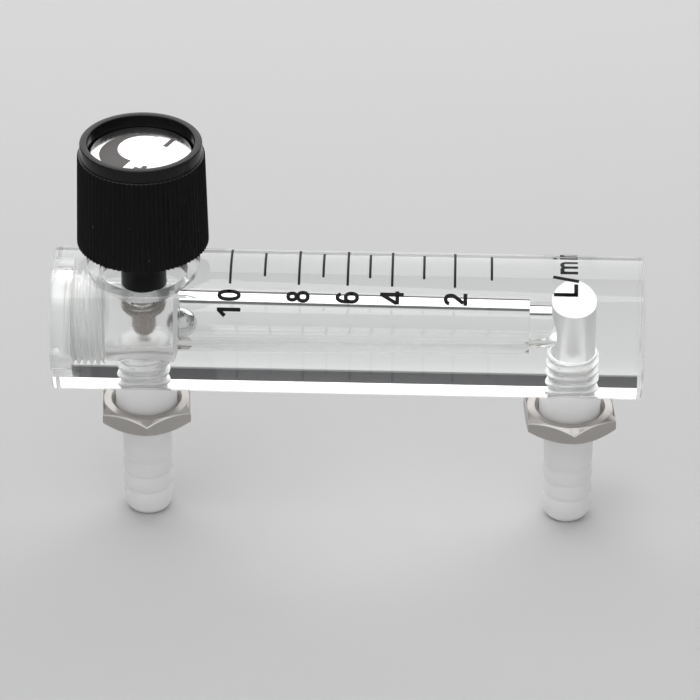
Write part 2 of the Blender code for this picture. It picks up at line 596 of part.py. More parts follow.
def main():
    for obj in list(bpy.data.objects):
        bpy.data.objects.remove(obj)
    parts = new_collection("oxygen_flowmeter")
    cutters = new_collection("cutters")

    acrylic = new_material("clear_acrylic", (0.95, 0.96, 0.97), 0.05, transmission=1.0)
    plug_plastic = new_material("clear_plug", (0.88, 0.9, 0.9), 0.12, transmission=1.0)
    seal_rubber = new_material("pale_seal", (0.8, 0.8, 0.78), 0.5)
    outlet_nylon = new_material("outlet_nylon", (0.87, 0.88, 0.88), 0.4)
    inlet_nylon = new_material("inlet_nylon", (0.87, 0.88, 0.88), 0.4)
    outlet_steel = new_material("outlet_nut_steel", (0.62, 0.59, 0.57), 0.22, metallic=1.0)
    inlet_steel = new_material("inlet_nut_steel", (0.62, 0.59, 0.57), 0.22, metallic=1.0)
    ball_steel = new_material("ball_steel", (0.72, 0.73, 0.74), 0.06, metallic=1.0)
    spindle_black = new_material("spindle_black", (0.02, 0.02, 0.02), 0.35)
    ring_rubber = new_material("ring_rubber", (0.03, 0.03, 0.03), 0.6)
    pad_rubber = new_material("pad_rubber", (0.05, 0.045, 0.045), 0.55)
    knob_black = new_material("knob_black", (0.02, 0.02, 0.021), 0.4)
    disc_metal = new_material("disc_metal", (0.75, 0.74, 0.73), 0.28, metallic=1.0)
    screw_steel = new_material("screw_steel", (0.6, 0.6, 0.61), 0.3, metallic=1.0)

    make_body(parts, cutters, acrylic)
    make_plug(parts, cutters, plug_plastic)
    make_plug_seal(parts, seal_rubber)
    make_fitting("outlet_fitting", VALVE_X, OUTLET_TOP_Z, True, parts, outlet_nylon)
    make_fitting("inlet_fitting", INLET_X, INLET_TOP_Z, False, parts, inlet_nylon)
    make_nut("outlet_nut", VALVE_X, parts, cutters, outlet_steel)
    make_nut("inlet_nut", INLET_X, parts, cutters, inlet_steel)
    make_ball(parts, ball_steel)

    valve_axis = add_axis("valve_axis", (VALVE_X, 0.0, AXIS_HEIGHT), parts)
    make_spindle(parts, cutters, valve_axis, spindle_black)
    make_spindle_seal(parts, valve_axis, ring_rubber)
    make_pad(parts, valve_axis, pad_rubber)
    make_knob(parts, cutters, valve_axis, knob_black)
    make_disc(parts, valve_axis, disc_metal)
    make_screw(parts, cutters, valve_axis, screw_steel)

    for cutter in cutters.objects:
        cutter.hide_render = True
        cutter.display_type = "WIRE"


main()
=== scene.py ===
"""Looks of the oxygen flowmeter: clear acrylic, white nylon, nickel and black plastic on the frame."""
import math

import bmesh
import bpy
from mathutils import Matrix, Quaternion, Vector


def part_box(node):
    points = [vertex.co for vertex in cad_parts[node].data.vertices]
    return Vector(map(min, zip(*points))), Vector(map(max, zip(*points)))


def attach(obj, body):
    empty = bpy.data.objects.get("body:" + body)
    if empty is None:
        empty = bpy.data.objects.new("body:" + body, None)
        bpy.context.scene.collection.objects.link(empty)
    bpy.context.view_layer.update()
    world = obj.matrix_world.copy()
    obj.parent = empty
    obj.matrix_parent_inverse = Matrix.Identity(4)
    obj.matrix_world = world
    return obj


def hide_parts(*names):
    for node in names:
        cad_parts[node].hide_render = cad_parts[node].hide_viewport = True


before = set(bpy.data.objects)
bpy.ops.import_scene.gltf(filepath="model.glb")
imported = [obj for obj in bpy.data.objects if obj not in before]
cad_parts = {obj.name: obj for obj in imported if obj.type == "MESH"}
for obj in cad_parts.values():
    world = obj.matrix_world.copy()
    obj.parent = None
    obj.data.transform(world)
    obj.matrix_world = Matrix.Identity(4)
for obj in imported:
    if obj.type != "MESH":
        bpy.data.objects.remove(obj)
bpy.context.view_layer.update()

# Camera of the photograph, aimed at a point on the bar
CAMERA_AZIMUTH = math.radians(1.347)
CAMERA_ELEVATION = math.radians(32.101)
CAMERA_ROLL = math.radians(0.393)
CAMERA_DISTANCE = 0.8159
CAMERA_TARGET = Vector((0.000379, 0.0, 0.036468))
CAMERA_LENS = 218.22
SENSOR_WIDTH = 36.0

# Places and sizes read from the frame
BAR_LOW, BAR_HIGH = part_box("acrylic_body")
PLUG_LOW, PLUG_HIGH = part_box("end_plug")
PLUG_SEAL_LOW, PLUG_SEAL_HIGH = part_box("plug_seal")
OUTLET_LOW, OUTLET_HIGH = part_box("outlet_fitting")
INLET_LOW, INLET_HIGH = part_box("inlet_fitting")
NUT_LOW, NUT_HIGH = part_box("outlet_nut")
BALL_LOW, BALL_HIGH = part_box("float_ball")
SPINDLE_LOW, SPINDLE_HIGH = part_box("valve_spindle")
PAD_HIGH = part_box("valve_pad")[1]
KNOB_LOW, KNOB_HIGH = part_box("knob")
DISC_LOW, DISC_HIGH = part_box("knob_insert")
AXIS_Z = (BAR_LOW.z + BAR_HIGH.z) / 2
BODY_RADIUS = (BAR_HIGH.y - BAR_LOW.y) / 2
LEFT_X = BAR_LOW.x
RIGHT_X = BAR_HIGH.x
VALVE_X = (OUTLET_LOW.x + OUTLET_HIGH.x) / 2
INLET_X = (INLET_LOW.x + INLET_HIGH.x) / 2
FLANGE_RADIUS = (PLUG_HIGH.y - PLUG_LOW.y) / 2
BALL_RADIUS = (BALL_HIGH.z - BALL_LOW.z) / 2
DISC_RADIUS = (DISC_HIGH.y - DISC_LOW.y) / 2

# Room at a seat, and room taken off each side of a thread
SEAT_GAP = 0.0003
THREAD_GAP = 0.0001

# Hollows of the bar
BODY_EDGE = 0.0004
COUNTERBORE_RADIUS = FLANGE_RADIUS + SEAT_GAP
CHAMBER_RADIUS = 0.00555
CHAMBER_END_X = VALVE_X + 0.0067
CHAMBER_CONE = 0.0008
BORE_MOUTH_RADIUS = 0.00415
BORE_END_RADIUS = 0.0037
THROAT_RADIUS = 0.00285
THROAT_LENGTH = 0.0041
INLET_HOLE_RADIUS = 0.0043
INLET_HOLE_TOP = AXIS_Z + 0.0042
BORE_END_X = INLET_X - INLET_HOLE_RADIUS - THROAT_LENGTH
SPOTFACE_RADIUS = 0.0108
SPOTFACE_Z = BAR_HIGH.z - 0.0025
RECESS_RADIUS = 0.0084
RECESS_Z = SPOTFACE_Z - 0.0028
COLLAR_SEAT_Z = BAR_LOW.z + 0.00155
HOLLOW_EDGE = 0.00008

# How far the cuts run out of the bar, and into the chamber in shares of its radius
CUT_REACH = 0.002
PORT_CUT_SHARE = 0.8
POCKET_CUT_SHARE = 0.6

# Threads, with crests and roots as radii, and the rise of a thread over one pitch
PORT_CREST = 0.005
PORT_ROOT = 0.0044
PORT_PITCH = 0.0012
PLUG_CREST = 0.006
PLUG_ROOT = 0.00535
PLUG_PITCH = 0.00125
SPINDLE_CREST = 0.0043
SPINDLE_ROOT = 0.00385
SPINDLE_PITCH = 0.001
SPINDLE_THREAD_TOP = AXIS_Z + 0.0066
STEM_TRAVEL = 0.0013
HOLE_THREAD_TOP = SPINDLE_THREAD_TOP - STEM_TRAVEL - SEAT_GAP
THREAD_SHAPE = (0.0, 0.0, 0.22, 0.78, 1.0, 1.0, 0.78, 0.22)
THREAD_FADE = 0.4

# Plug in the left end
FLANGE_BACK_X = LEFT_X + 0.0024
PLUG_EDGE = 0.0002
PLUG_SLOT_WIDTH = 0.0014
PLUG_SLOT_DEPTH = 0.0014
PLUG_SLOT_TILT = math.radians(17)

# Hose barbs
COLLAR_RADIUS = 0.00593
COLLAR_TOP_Z = COLLAR_SEAT_Z - SEAT_GAP
COLLAR_TOP_EDGE = 0.0002
COLLAR_FOOT_EDGE = 0.00012
CONE_TOP_Z = NUT_LOW.z - 0.0004
CONE_FOOT_Z = CONE_TOP_Z - 0.0018
CONE_ROUNDING = 0.002
HOSE_RADIUS = 0.00486
BARB_NOTCH = 0.00036
BARB_STEPS = 12
BARB_PITCH = 0.0035
BARB_COUNT = 3
BARBS_TOP_Z = 0.0122
BULGE_POWER = 0.6
HOSE_BORE_RADIUS = 0.0024
ORIFICE_RADIUS = 0.0012
ORIFICE_LENGTH = 0.0035
ORIFICE_EDGE = 0.0003
SEAT_RIM_RADIUS = 0.0024
SEAT_RIM_RISE = 0.0003
SEAT_RIM_EDGE = 0.0001
SEAT_FOOT_EDGE = 0.00006
HOSE_BORE_EDGE = 0.0002
TIP_NARROWING = 0.0012
TIP_LENGTH = 0.0022
TIP_SHOULDER_EDGE = 0.0015
TIP_EDGE = 0.0008

# Panel nuts
NUT_ACROSS_FLATS = 0.017
NUT_CHAMFER = 0.0003
NUT_CORNER_SLOPE = math.radians(30)
NUT_EDGE = 0.00018
NUT_SIDES = 144
NUT_BORE_RADIUS = COLLAR_RADIUS + SEAT_GAP
NUT_BORE_EDGE = 0.0006
NUT_TURNS = {"outlet_nut": math.radians(4), "inlet_nut": math.radians(5)}

# Spindle and pad
NECK_RADIUS = SPINDLE_CREST
NECK_EDGE = 0.0003
SPINDLE_TIP_RADIUS = 0.0023
SPINDLE_TIP_EDGE = 0.0003
SPINDLE_THREAD_FOOT = AXIS_Z + 0.0023
SPINDLE_SEAL_Z = AXIS_Z + 0.0076
SPINDLE_SEAL_SECTION = 0.001
SPINDLE_GROOVE_RADIUS = 0.0033
SPINDLE_GROOVE_ROOM = 0.0001
SPINDLE_GROOVE_EDGE = 0.0001
PAD_SOCKET_RADIUS = 0.0011
POST_RADIUS = 0.003
POST_FLAT = 0.0006
POST_HOLE_DEPTH = 0.0055

# Knob
RIB_COUNT = 80
RIB_COLUMNS = 8
RIB_DEPTH = 0.00028
RIB_POWER = 1.5
KNOB_TOP_RADIUS = 0.0115
SKIRT_TOP_RADIUS = 0.012
SKIRT_FOOT_RADIUS = 0.0125
SKIRT_ROWS = 8
SHOULDER_STEPS = 5
BAND_HEIGHT = 0.0025
RIM_WIDTH = 0.0014
RIM_EDGE = 0.0003
KNOB_WALL = 0.0016
KNOB_WEB = 0.0024
KNOB_WEB_EDGE = 0.0004
KNOB_FOOT_FLARE = 0.0002
KNOB_WEB_DRAFT = 0.0005
HUB_RADIUS = 0.0052
HUB_SETBACK = 0.003
HUB_EDGE = 0.0002
WELL_RADIUS = KNOB_TOP_RADIUS - RIM_WIDTH
WELL_FLOOR_Z = DISC_LOW.z - SEAT_GAP
WELL_DRAFT = 0.0003
WELL_EDGE = 0.0002
SCREW_HOLE_RADIUS = 0.0017
SCREW_HEAD_ROOM = 0.0031
SCREW_SEAT_Z = WELL_FLOOR_Z - 0.0024
POST_HOLE_TOP_Z = SCREW_SEAT_Z - 0.0013

# Scale, with places along the bar, and angles from its top towards the camera
INK_HEIGHT = 0.00001
INK_DEPTH = 0.00001
INK_STRIP = 0.0002
TICK_WIDTH = 0.00047
TICK_PLACES = {10: -0.0222, 9: -0.0157, 8: -0.0092, 7: -0.00463, 6: 0.0, 5: 0.0042, 4: 0.0084,
               3: 0.0144, 2: 0.02025, 1: 0.0272}
LONG_TICK = (math.radians(28), math.radians(-20))
SHORT_TICK = (math.radians(20.4), math.radians(-12))
NUMBER_PLACES = {10: -0.0223, 8: -0.0093, 6: 0.0, 4: 0.0084, 2: 0.0204}
NUMBER_HEIGHT = 0.00445
NUMBER_START = math.radians(43.3)
TEN_START = math.radians(56.0)
UNIT_X = 0.0412
UNIT_HEIGHT = 0.0046
UNIT_START = math.radians(34.0)

# Letters, each with its left edge in shares of its height
TEN_LETTERS = (("1", 0.0), ("0", 0.705))
UNIT_LETTERS = (("L", 0.0), ("/", 0.7), ("m", 1.14), ("i", 2.28), ("n", 2.6))

# Characters: stroke in shares of their height, how square a bow is, and the steps along it
STROKE = 0.166
BOW_SQUARENESS = 2.3
BOW_STEPS = 28

# Graphic on the knob's disc, in shares of the disc's radius
GRAPHIC_TURN = math.radians(63.6)
CRESCENT_OUTER = (-0.09, 0.78)
CRESCENT_INNER = (0.14, 0.53)
MINUS_PLACE = (0.58, -0.31)
PLUS_PLACE = (-0.62, -0.37)
SIGN_LENGTH = 0.35
SIGN_WIDTH = 0.1
CRESCENT_STEPS = 48

# Smoothness, and the most of a side that a rounded corner may take
FINE_SIDES = 192
SMALL_SIDES = 96
MERGE = 0.000001
CREASE = math.radians(30)
CORNER_SHARE = 0.45

# Clear plastic: how it bends light, and the share of light that each surface lets through
ACRYLIC_IOR = 1.49
CLEAR_TINT = (0.96, 0.96, 0.96)

# The values between which most of a noise lies
NOISE_RANGE = (0.3, 0.7)

# Studio: each lamp's place, size and power, then the floor and the sky
LAMPS = {"back": ((0.0, 0.62, 0.54), (1.5, 0.8), 6.4),
         "overhead": ((-0.15, -0.1, 0.8), (0.5, 0.4), 1.4)}
FLOOR_HALF = 3.0
FLOOR_DROP = 0.00002
FLOOR_DARK = (0.61, 0.61, 0.61)
FLOOR_LIGHT = (0.635, 0.635, 0.635)
SKY_SLOPE = (0.0, -0.85, 0.53)
SKY_STOPS = ((0.0, (0.08, 0.08, 0.084, 1.0)), (0.75, (0.68, 0.68, 0.68, 1.0)))


def soften(points, steps=3):
    """Rounds each corner that carries a radius; a point is (radius, height) or (radius, height, corner)."""
    smooth = []
    for index, point in enumerate(points):
        here = Vector(point[:2])
        if len(point) < 3 or index in (0, len(points) - 1):
            smooth.append(tuple(here))
            continue
        before = Vector(points[index - 1][:2]) - here
        after = Vector(points[index + 1][:2]) - here
        half = before.angle(after) / 2
        reach = min(point[2] / math.tan(half), CORNER_SHARE * before.length, CORNER_SHARE * after.length)
        radius = reach * math.tan(half)
        middle = (before.normalized() + after.normalized()).normalized()
        centre = here + middle * (radius / math.sin(half))
        start = here + before.normalized() * reach - centre
        end = here + after.normalized() * reach - centre
        first = math.atan2(start.y, start.x)
        sweep = (math.atan2(end.y, end.x) - first + math.pi) % (2 * math.pi) - math.pi
        for step in range(steps + 1):
            angle = first + sweep * step / steps
            smooth.append((centre.x + radius * math.cos(angle), centre.y + radius * math.sin(angle)))
    return smooth


class Turning:
    """A surface turned about an axis, built from rows of (radius, height), one value for each column."""

    def __init__(self, sides, turn=0.0):
        self.angles = [2 * math.pi * column / sides for column in range(sides + 1)]
        self.rows = []
        self.marks = []
        self.turn = turn

    def row(self, shape, mark=0):
        """Adds a row; shape gives the radius and height at an angle, and mark is the material up to it."""
        self.rows.append([shape(angle) for angle in self.angles])
        self.marks.append(mark)

    def line(self, points, mark=0):
        """Adds a run of plain rows with their corners rounded."""
        for radius, height in soften(points):
            self.row(lambda angle: (radius, height), mark)

    def thread(self, root, crest, start, end, pitch, mark=0, mouth=None):
        """
        Adds a right-handed thread between two heights. Threads of one pitch about one axis run in step.
        A thread fades out at its ends, and opens to its widest at the height of a hole's mouth.
        """
        way = 1 if end > start else -1
        low, high = min(start, end), max(start, end)
        count = len(THREAD_SHAPE)
        middle = (count + 1) / 2
        first = math.floor(low / pitch) - 1 if way > 0 else math.ceil(high / pitch)
        reach = high / pitch - first if way > 0 else first + 1 - low / pitch
        for step in range(math.ceil(count * reach + middle) + 1):
            rise = THREAD_SHAPE[step % count]

            def shape(angle):
                turns = first + angle / (2 * math.pi) + way * (step - middle) / count
                height = min(max(pitch * turns, low), high)
                below = min(1.0, (height - low) / (THREAD_FADE * pitch))
                above = min(1.0, (high - height) / (THREAD_FADE * pitch))
                share = rise
                for limit, fade in ((low, below), (high, above)):
                    share = 1 - (1 - share) * fade if limit == mouth else share * fade
                return root + (crest - root) * share, height

            self.row(shape, mark)

    def build(self, name, materials, centre, along_x=False, closed=False):
        """Bridges the rows into a closed mesh; the axis is vertical, or runs along X."""
        points = []
        for row in self.rows:
            for angle, (radius, height) in zip(self.angles, row):
                side = radius * math.cos(angle + self.turn)
                depth = radius * math.sin(angle + self.turn)
                if along_x:
                    points.append((height, centre[1] + depth, centre[2] - side))
                else:
                    points.append((centre[0] + side, centre[1] + depth, height))
        columns = len(self.angles)
        faces, marks = [], []
        spans = [(index, index + 1) for index in range(len(self.rows) - 1)]
        if closed:
            spans.append((len(self.rows) - 1, 0))
        for first, second in spans:
            for column in range(columns - 1):
                near, far = first * columns + column, second * columns + column
                faces.append((near, near + 1, far + 1, far))
                marks.append(self.marks[second])
        mesh = bpy.data.meshes.new(name)
        mesh.from_pydata(points, [], faces)
        mesh.polygons.foreach_set("material_index", marks)
        return add_mesh(name, mesh, materials)


def add_object(name, data):
    """Makes an object of its data and puts it in the scene."""
    obj = bpy.data.objects.new(name, data)
    bpy.context.scene.collection.objects.link(obj)
    return obj


def add_mesh(name, mesh, materials):
    """Welds a mesh, turns its faces outwards, and makes it an object with its materials."""
    bm = bmesh.new()
    bm.from_mesh(mesh)
    bmesh.ops.remove_doubles(bm, verts=bm.verts, dist=MERGE)
    bmesh.ops.recalc_face_normals(bm, faces=bm.faces)
    bm.to_mesh(mesh)
    bm.free()
    for material in materials:
        mesh.materials.append(material)
    shade(mesh)
    return add_object(name, mesh)


def shade(mesh):
    """Smooth shading with sharp creases."""
    mesh.shade_smooth()
    mesh.set_sharp_from_angle(angle=CREASE)


def bake(obj):
    """Bakes an object's modifiers into its mesh."""
    graph = bpy.context.evaluated_depsgraph_get()
    mesh = bpy.data.meshes.new_from_object(obj.evaluated_get(graph))
    obj.modifiers.clear()
    obj.data = mesh


def even_normals(obj):
    """Keeps wide flat faces flat beside their small rounded edges."""
    normals = obj.modifiers.new("Normals", "WEIGHTED_NORMAL")
    normals.keep_sharp = True
    bake(obj)


def carve(obj, *cutters):
    """Cuts other shapes out of an object, and carries their materials over."""
    for cutter in cutters:
        boolean = obj.modifiers.new(cutter.name, "BOOLEAN")
        boolean.operation = "DIFFERENCE"
        boolean.solver = "EXACT"
        boolean.material_mode = "TRANSFER"
        boolean.object = cutter
    bake(obj)
    shade(obj.data)
    for cutter in cutters:
        bpy.data.objects.remove(cutter)


def add_box(name, size, place, materials, turn):
    """A box about a place, turned about it."""
    mesh = bpy.data.meshes.new(name)
    bm = bmesh.new()
    matrix = Matrix.Translation(place) @ turn @ Matrix.Diagonal((*size, 1.0))
    bmesh.ops.create_cube(bm, size=1.0, matrix=matrix)
    bm.to_mesh(mesh)
    bm.free()
    return add_mesh(name, mesh, materials)


def settle(obj, body, slot, *nodes):
    """Puts a piece on its body in place of the nodes that it stands for, which it hides; slot is not used."""
    even_normals(obj)
    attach(obj, body)
    if nodes:
        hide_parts(*nodes)
    return obj


class Shader:
    """A material's node tree, with its Principled shader and short ways to add nodes."""

    def __init__(self, name, **values):
        self.material = bpy.data.materials.new(name)
        self.material.use_nodes = True
        self.tree = self.material.node_tree
        self.main = self.tree.nodes["Principled BSDF"]
        for key, value in values.items():
            self.set(self.main, key.replace("_", " ").title().replace("Ior", "IOR"), value)

    def set(self, node, socket, value):
        """Links a socket, or sets its value; a colour may leave out its alpha."""
        target = node.inputs[socket]
        if isinstance(value, bpy.types.NodeSocket):
            self.tree.links.new(value, target)
        elif target.type == "RGBA":
            target.default_value = (*value[:3], 1.0)
        else:
            target.default_value = value

    def node(self, kind, values=None, **settings):
        """Adds a node with its settings and input values."""
        node = self.tree.nodes.new("ShaderNode" + kind)
        for key, value in settings.items():
            setattr(node, key, value)
        for socket, value in (values or {}).items():
            self.set(node, socket, value)
        return node

    def place(self, stretch=(1.0, 1.0, 1.0), turn=0.0):
        """The piece's own coordinates, stretched along its axes."""
        source = self.node("TexCoord").outputs["Object"]
        mapping = self.node("Mapping", {"Vector": source, "Scale": stretch, "Rotation": (0.0, 0.0, turn)})
        return mapping.outputs["Vector"]

    def noise(self, scale, vector, detail=3.0, roughness=0.5):
        """Noise between 0 and 1."""
        values = {"Vector": vector, "Scale": scale, "Detail": detail, "Roughness": roughness}
        return self.node("TexNoise", values).outputs["Fac"]

    def spread(self, value, low, high, start=0.0, end=1.0):
        """Maps a value from start..end to low..high."""
        values = {"Value": value, "From Min": start, "From Max": end, "To Min": low, "To Max": high}
        return self.node("MapRange", values).outputs["Result"]

    def mix(self, factor, first, second):
        """Mixes two colours."""
        node = self.node("Mix", data_type="RGBA")
        self.set(node, 0, factor)
        self.set(node, 6, first)
        self.set(node, 7, second)
        return node.outputs[2]

    def bump(self, height, distance):
        """Gives the shader a fine relief."""
        values = {"Height": height, "Distance": distance, "Strength": 1.0}
        self.set(self.main, "Normal", self.node("Bump", values).outputs["Normal"])


def let_lamps_through(shader):
    """Lets the lamps reach what lies behind clear plastic."""
    clear = shader.node("BsdfTransparent", {"Color": CLEAR_TINT})
    path = shader.node("LightPath").outputs["Is Shadow Ray"]
    blend = shader.node("MixShader", {0: path, 1: shader.main.outputs["BSDF"], 2: clear.outputs["BSDF"]})
    shader.set(shader.tree.nodes["Material Output"], "Surface", blend.outputs["Shader"])


def clear_plastic(name, roughness, grain, stretch, relief, solid=0.0, swing=0.25, glow=0.0):
    """Clear plastic, from polished to frosted; the grain is the size of its machining marks."""
    shader = Shader(name, base_color=(0.965, 0.975, 0.97), transmission_weight=1.0 - solid, ior=ACRYLIC_IOR,
                    subsurface_weight=glow, subsurface_radius=(1.0, 1.0, 1.0), subsurface_scale=0.002)
    marks = shader.noise(1.0 / grain, shader.place(stretch), 4.0, 0.6)
    uneven = shader.spread(marks, roughness * (1 - swing), roughness * (1 + swing), *NOISE_RANGE)
    shader.set(shader.main, "Roughness", uneven)
    if relief:
        shader.bump(marks, relief)
    let_lamps_through(shader)
    return shader.material


def polished_acrylic():
    """The bar's outside: clear and bright, with hair scratches along and across it."""
    shader = Shader("acrylic_polished", base_color=(0.975, 0.985, 0.98), transmission_weight=1.0,
                    ior=ACRYLIC_IOR)
    along = shader.noise(900.0, shader.place((0.05, 1.0, 1.0)), 2.0)
    across = shader.noise(700.0, shader.place((1.0, 0.06, 0.06)), 2.0)
    scratches = shader.node("Math", {0: along, 1: across}, operation="MAXIMUM").outputs[0]
    lines = shader.spread(scratches, 0.0, 0.12, 0.66, 0.78)
    shader.set(shader.main, "Roughness", lines)
    let_lamps_through(shader)
    return shader.material


def white_nylon():
    """Natural nylon: milky, a little translucent, with a faint cloudiness and mould grain."""
    shader = Shader("white_nylon", subsurface_weight=0.5, subsurface_radius=(1.0, 0.95, 0.9),
                    subsurface_scale=0.0015, ior=1.53)
    cloud = shader.noise(260.0, shader.place(), 3.0)
    shader.set(shader.main, "Base Color", shader.mix(cloud, (0.85, 0.845, 0.845), (0.91, 0.905, 0.905)))
    grain = shader.noise(2600.0, shader.place(), 2.0)
    shader.set(shader.main, "Roughness", shader.spread(grain, 0.3, 0.46))
    shader.bump(grain, 0.000012)
    return shader.material


def brushed_metal(name, colour, low, high, stretch, scale, relief, turn=0.0):
    """Metal with fine lines along one direction."""
    shader = Shader(name, metallic=1.0)
    lines = shader.noise(scale, shader.place(stretch, turn), 4.0, 0.6)
    shader.set(shader.main, "Roughness", shader.spread(lines, low, high, *NOISE_RANGE))
    dark = tuple(0.88 * part for part in colour)
    patches = shader.noise(180.0, shader.place(), 3.0)
    shader.set(shader.main, "Base Color", shader.mix(patches, dark, colour))
    if relief:
        shader.bump(lines, relief)
    return shader.material


def moulded(name, colour, low, high, scale, relief, dust=0.0, gloss=0.5):
    """Moulded plastic or rubber with a fine grain, and specks of dust where it has them."""
    shader = Shader(name, specular_ior_level=gloss)
    grain = shader.noise(scale, shader.place(), 3.0)
    tone = shader.noise(240.0, shader.place(), 2.0)
    pale = tuple(part * 1.5 + 0.001 for part in colour)
    base = shader.mix(tone, colour, pale)
    if dust:
        speck = shader.noise(1100.0, shader.place(), 0.0)
        base = shader.mix(shader.spread(speck, 0.0, dust, 0.82, 0.85), base, (0.35, 0.34, 0.33))
    shader.set(shader.main, "Base Color", base)
    shader.set(shader.main, "Roughness", shader.spread(grain, low, high, *NOISE_RANGE))
    shader.bump(grain, relief)
    return shader.material


def ink(name, colour):
    """Printed ink, slightly uneven."""
    shader = Shader(name, specular_ior_level=0.2)
    grain = shader.noise(3000.0, shader.place(), 2.0)
    pale = tuple(1.25 * part for part in colour)
    shader.set(shader.main, "Base Color", shader.mix(grain, colour, pale))
    shader.set(shader.main, "Roughness", shader.spread(grain, 0.35, 0.55))
    return shader.material


def make_materials():
    """Every finish, by name."""
    round_x = (1.0, 0.03, 0.03)
    round_z = (0.05, 0.05, 1.0)
    even = (1.0, 1.0, 1.0)
    return {
        "polished": polished_acrylic(),
        "bored": clear_plastic("acrylic_bored", 0.03, 0.0002, round_x, 0.0000003, swing=0.6),
        "turned": clear_plastic("acrylic_turned", 0.22, 0.0003, round_x, 0.0000008, solid=0.12),
        "threaded": clear_plastic("acrylic_threaded", 0.35, 0.0003, round_z, 0.000002, solid=0.6, glow=1.0),
        "tapped": clear_plastic("acrylic_tapped", 0.1, 0.0006, even, 0.0, solid=0.15),
        "plug_tapped": clear_plastic("acrylic_plug_tapped", 0.25, 0.0012, even, 0.0, solid=0.75, swing=0.1,
                                     glow=1.0),
        "milled": clear_plastic("acrylic_milled", 0.2, 0.0012, even, 0.0, solid=0.2),
        "frosted": clear_plastic("acrylic_frosted", 0.45, 0.0001, even, 0.000008, solid=0.55),
        "scraped": clear_plastic("acrylic_scraped", 0.4, 0.0003, even, 0.000002, solid=0.85),
        "plug": clear_plastic("plug_acrylic", 0.3, 0.0012, even, 0.0, solid=0.5, swing=0.1, glow=1.0),
        "nylon": white_nylon(),
        "nickel": brushed_metal("nut_nickel", (0.47, 0.45, 0.432), 0.28, 0.36, (1.0, 1.0, 0.2), 1500.0, 0.0),
        # The nut's broken edges: the nut's nickel painted far paler, a painted highlight.
        "edge": brushed_metal("nut_edge_painted_highlight", (0.9, 0.89, 0.88), 0.3, 0.4, even, 1500.0, 0.0),
        "ball": brushed_metal("ball_chrome", (0.74, 0.74, 0.75), 0.03, 0.07, even, 900.0, 0.0000004),
        "disc": brushed_metal("disc_metal", (0.92, 0.91, 0.905), 0.1, 0.2, (1.0, 0.02, 1.0), 5200.0,
                              0.0000006, GRAPHIC_TURN),
        "screw": brushed_metal("screw_steel", (0.6, 0.6, 0.61), 0.2, 0.4, even, 900.0, 0.000004),
        "knob": moulded("knob_skirt", (0.003, 0.003, 0.0033), 0.3, 0.45, 3200.0, 0.000006, dust=0.25,
                        gloss=0.12),
        "rim": moulded("knob_rim", (0.004, 0.004, 0.0044), 0.14, 0.24, 1500.0, 0.000001, gloss=0.25),
        # The ledge under the band: the knob's black painted paler, a painted sheen, and also glossier.
        "shoulder": moulded("knob_shoulder_painted_sheen", (0.012, 0.012, 0.013), 0.25, 0.4, 2500.0, 0.000003),
        "spindle": moulded("spindle_plastic", (0.004, 0.004, 0.0042), 0.3, 0.45, 2500.0, 0.000003,
                           gloss=0.25),
        "tip": brushed_metal("spindle_metal", (0.25, 0.20, 0.17), 0.22, 0.36, (1.0, 1.0, 0.2), 1500.0, 0.0),
        "seal": moulded("seal_silicone", (0.62, 0.62, 0.60), 0.35, 0.5, 1500.0, 0.000003),
        "ring": moulded("ring_rubber", (0.02, 0.02, 0.02), 0.45, 0.6, 2500.0, 0.000004),
        "pad": moulded("pad_rubber", (0.17, 0.115, 0.09), 0.45, 0.6, 2500.0, 0.000004),
        "print": ink("scale_ink", (0.005, 0.005, 0.006)),
        "graphic": ink("disc_ink", (0.115, 0.105, 0.105)),
    }


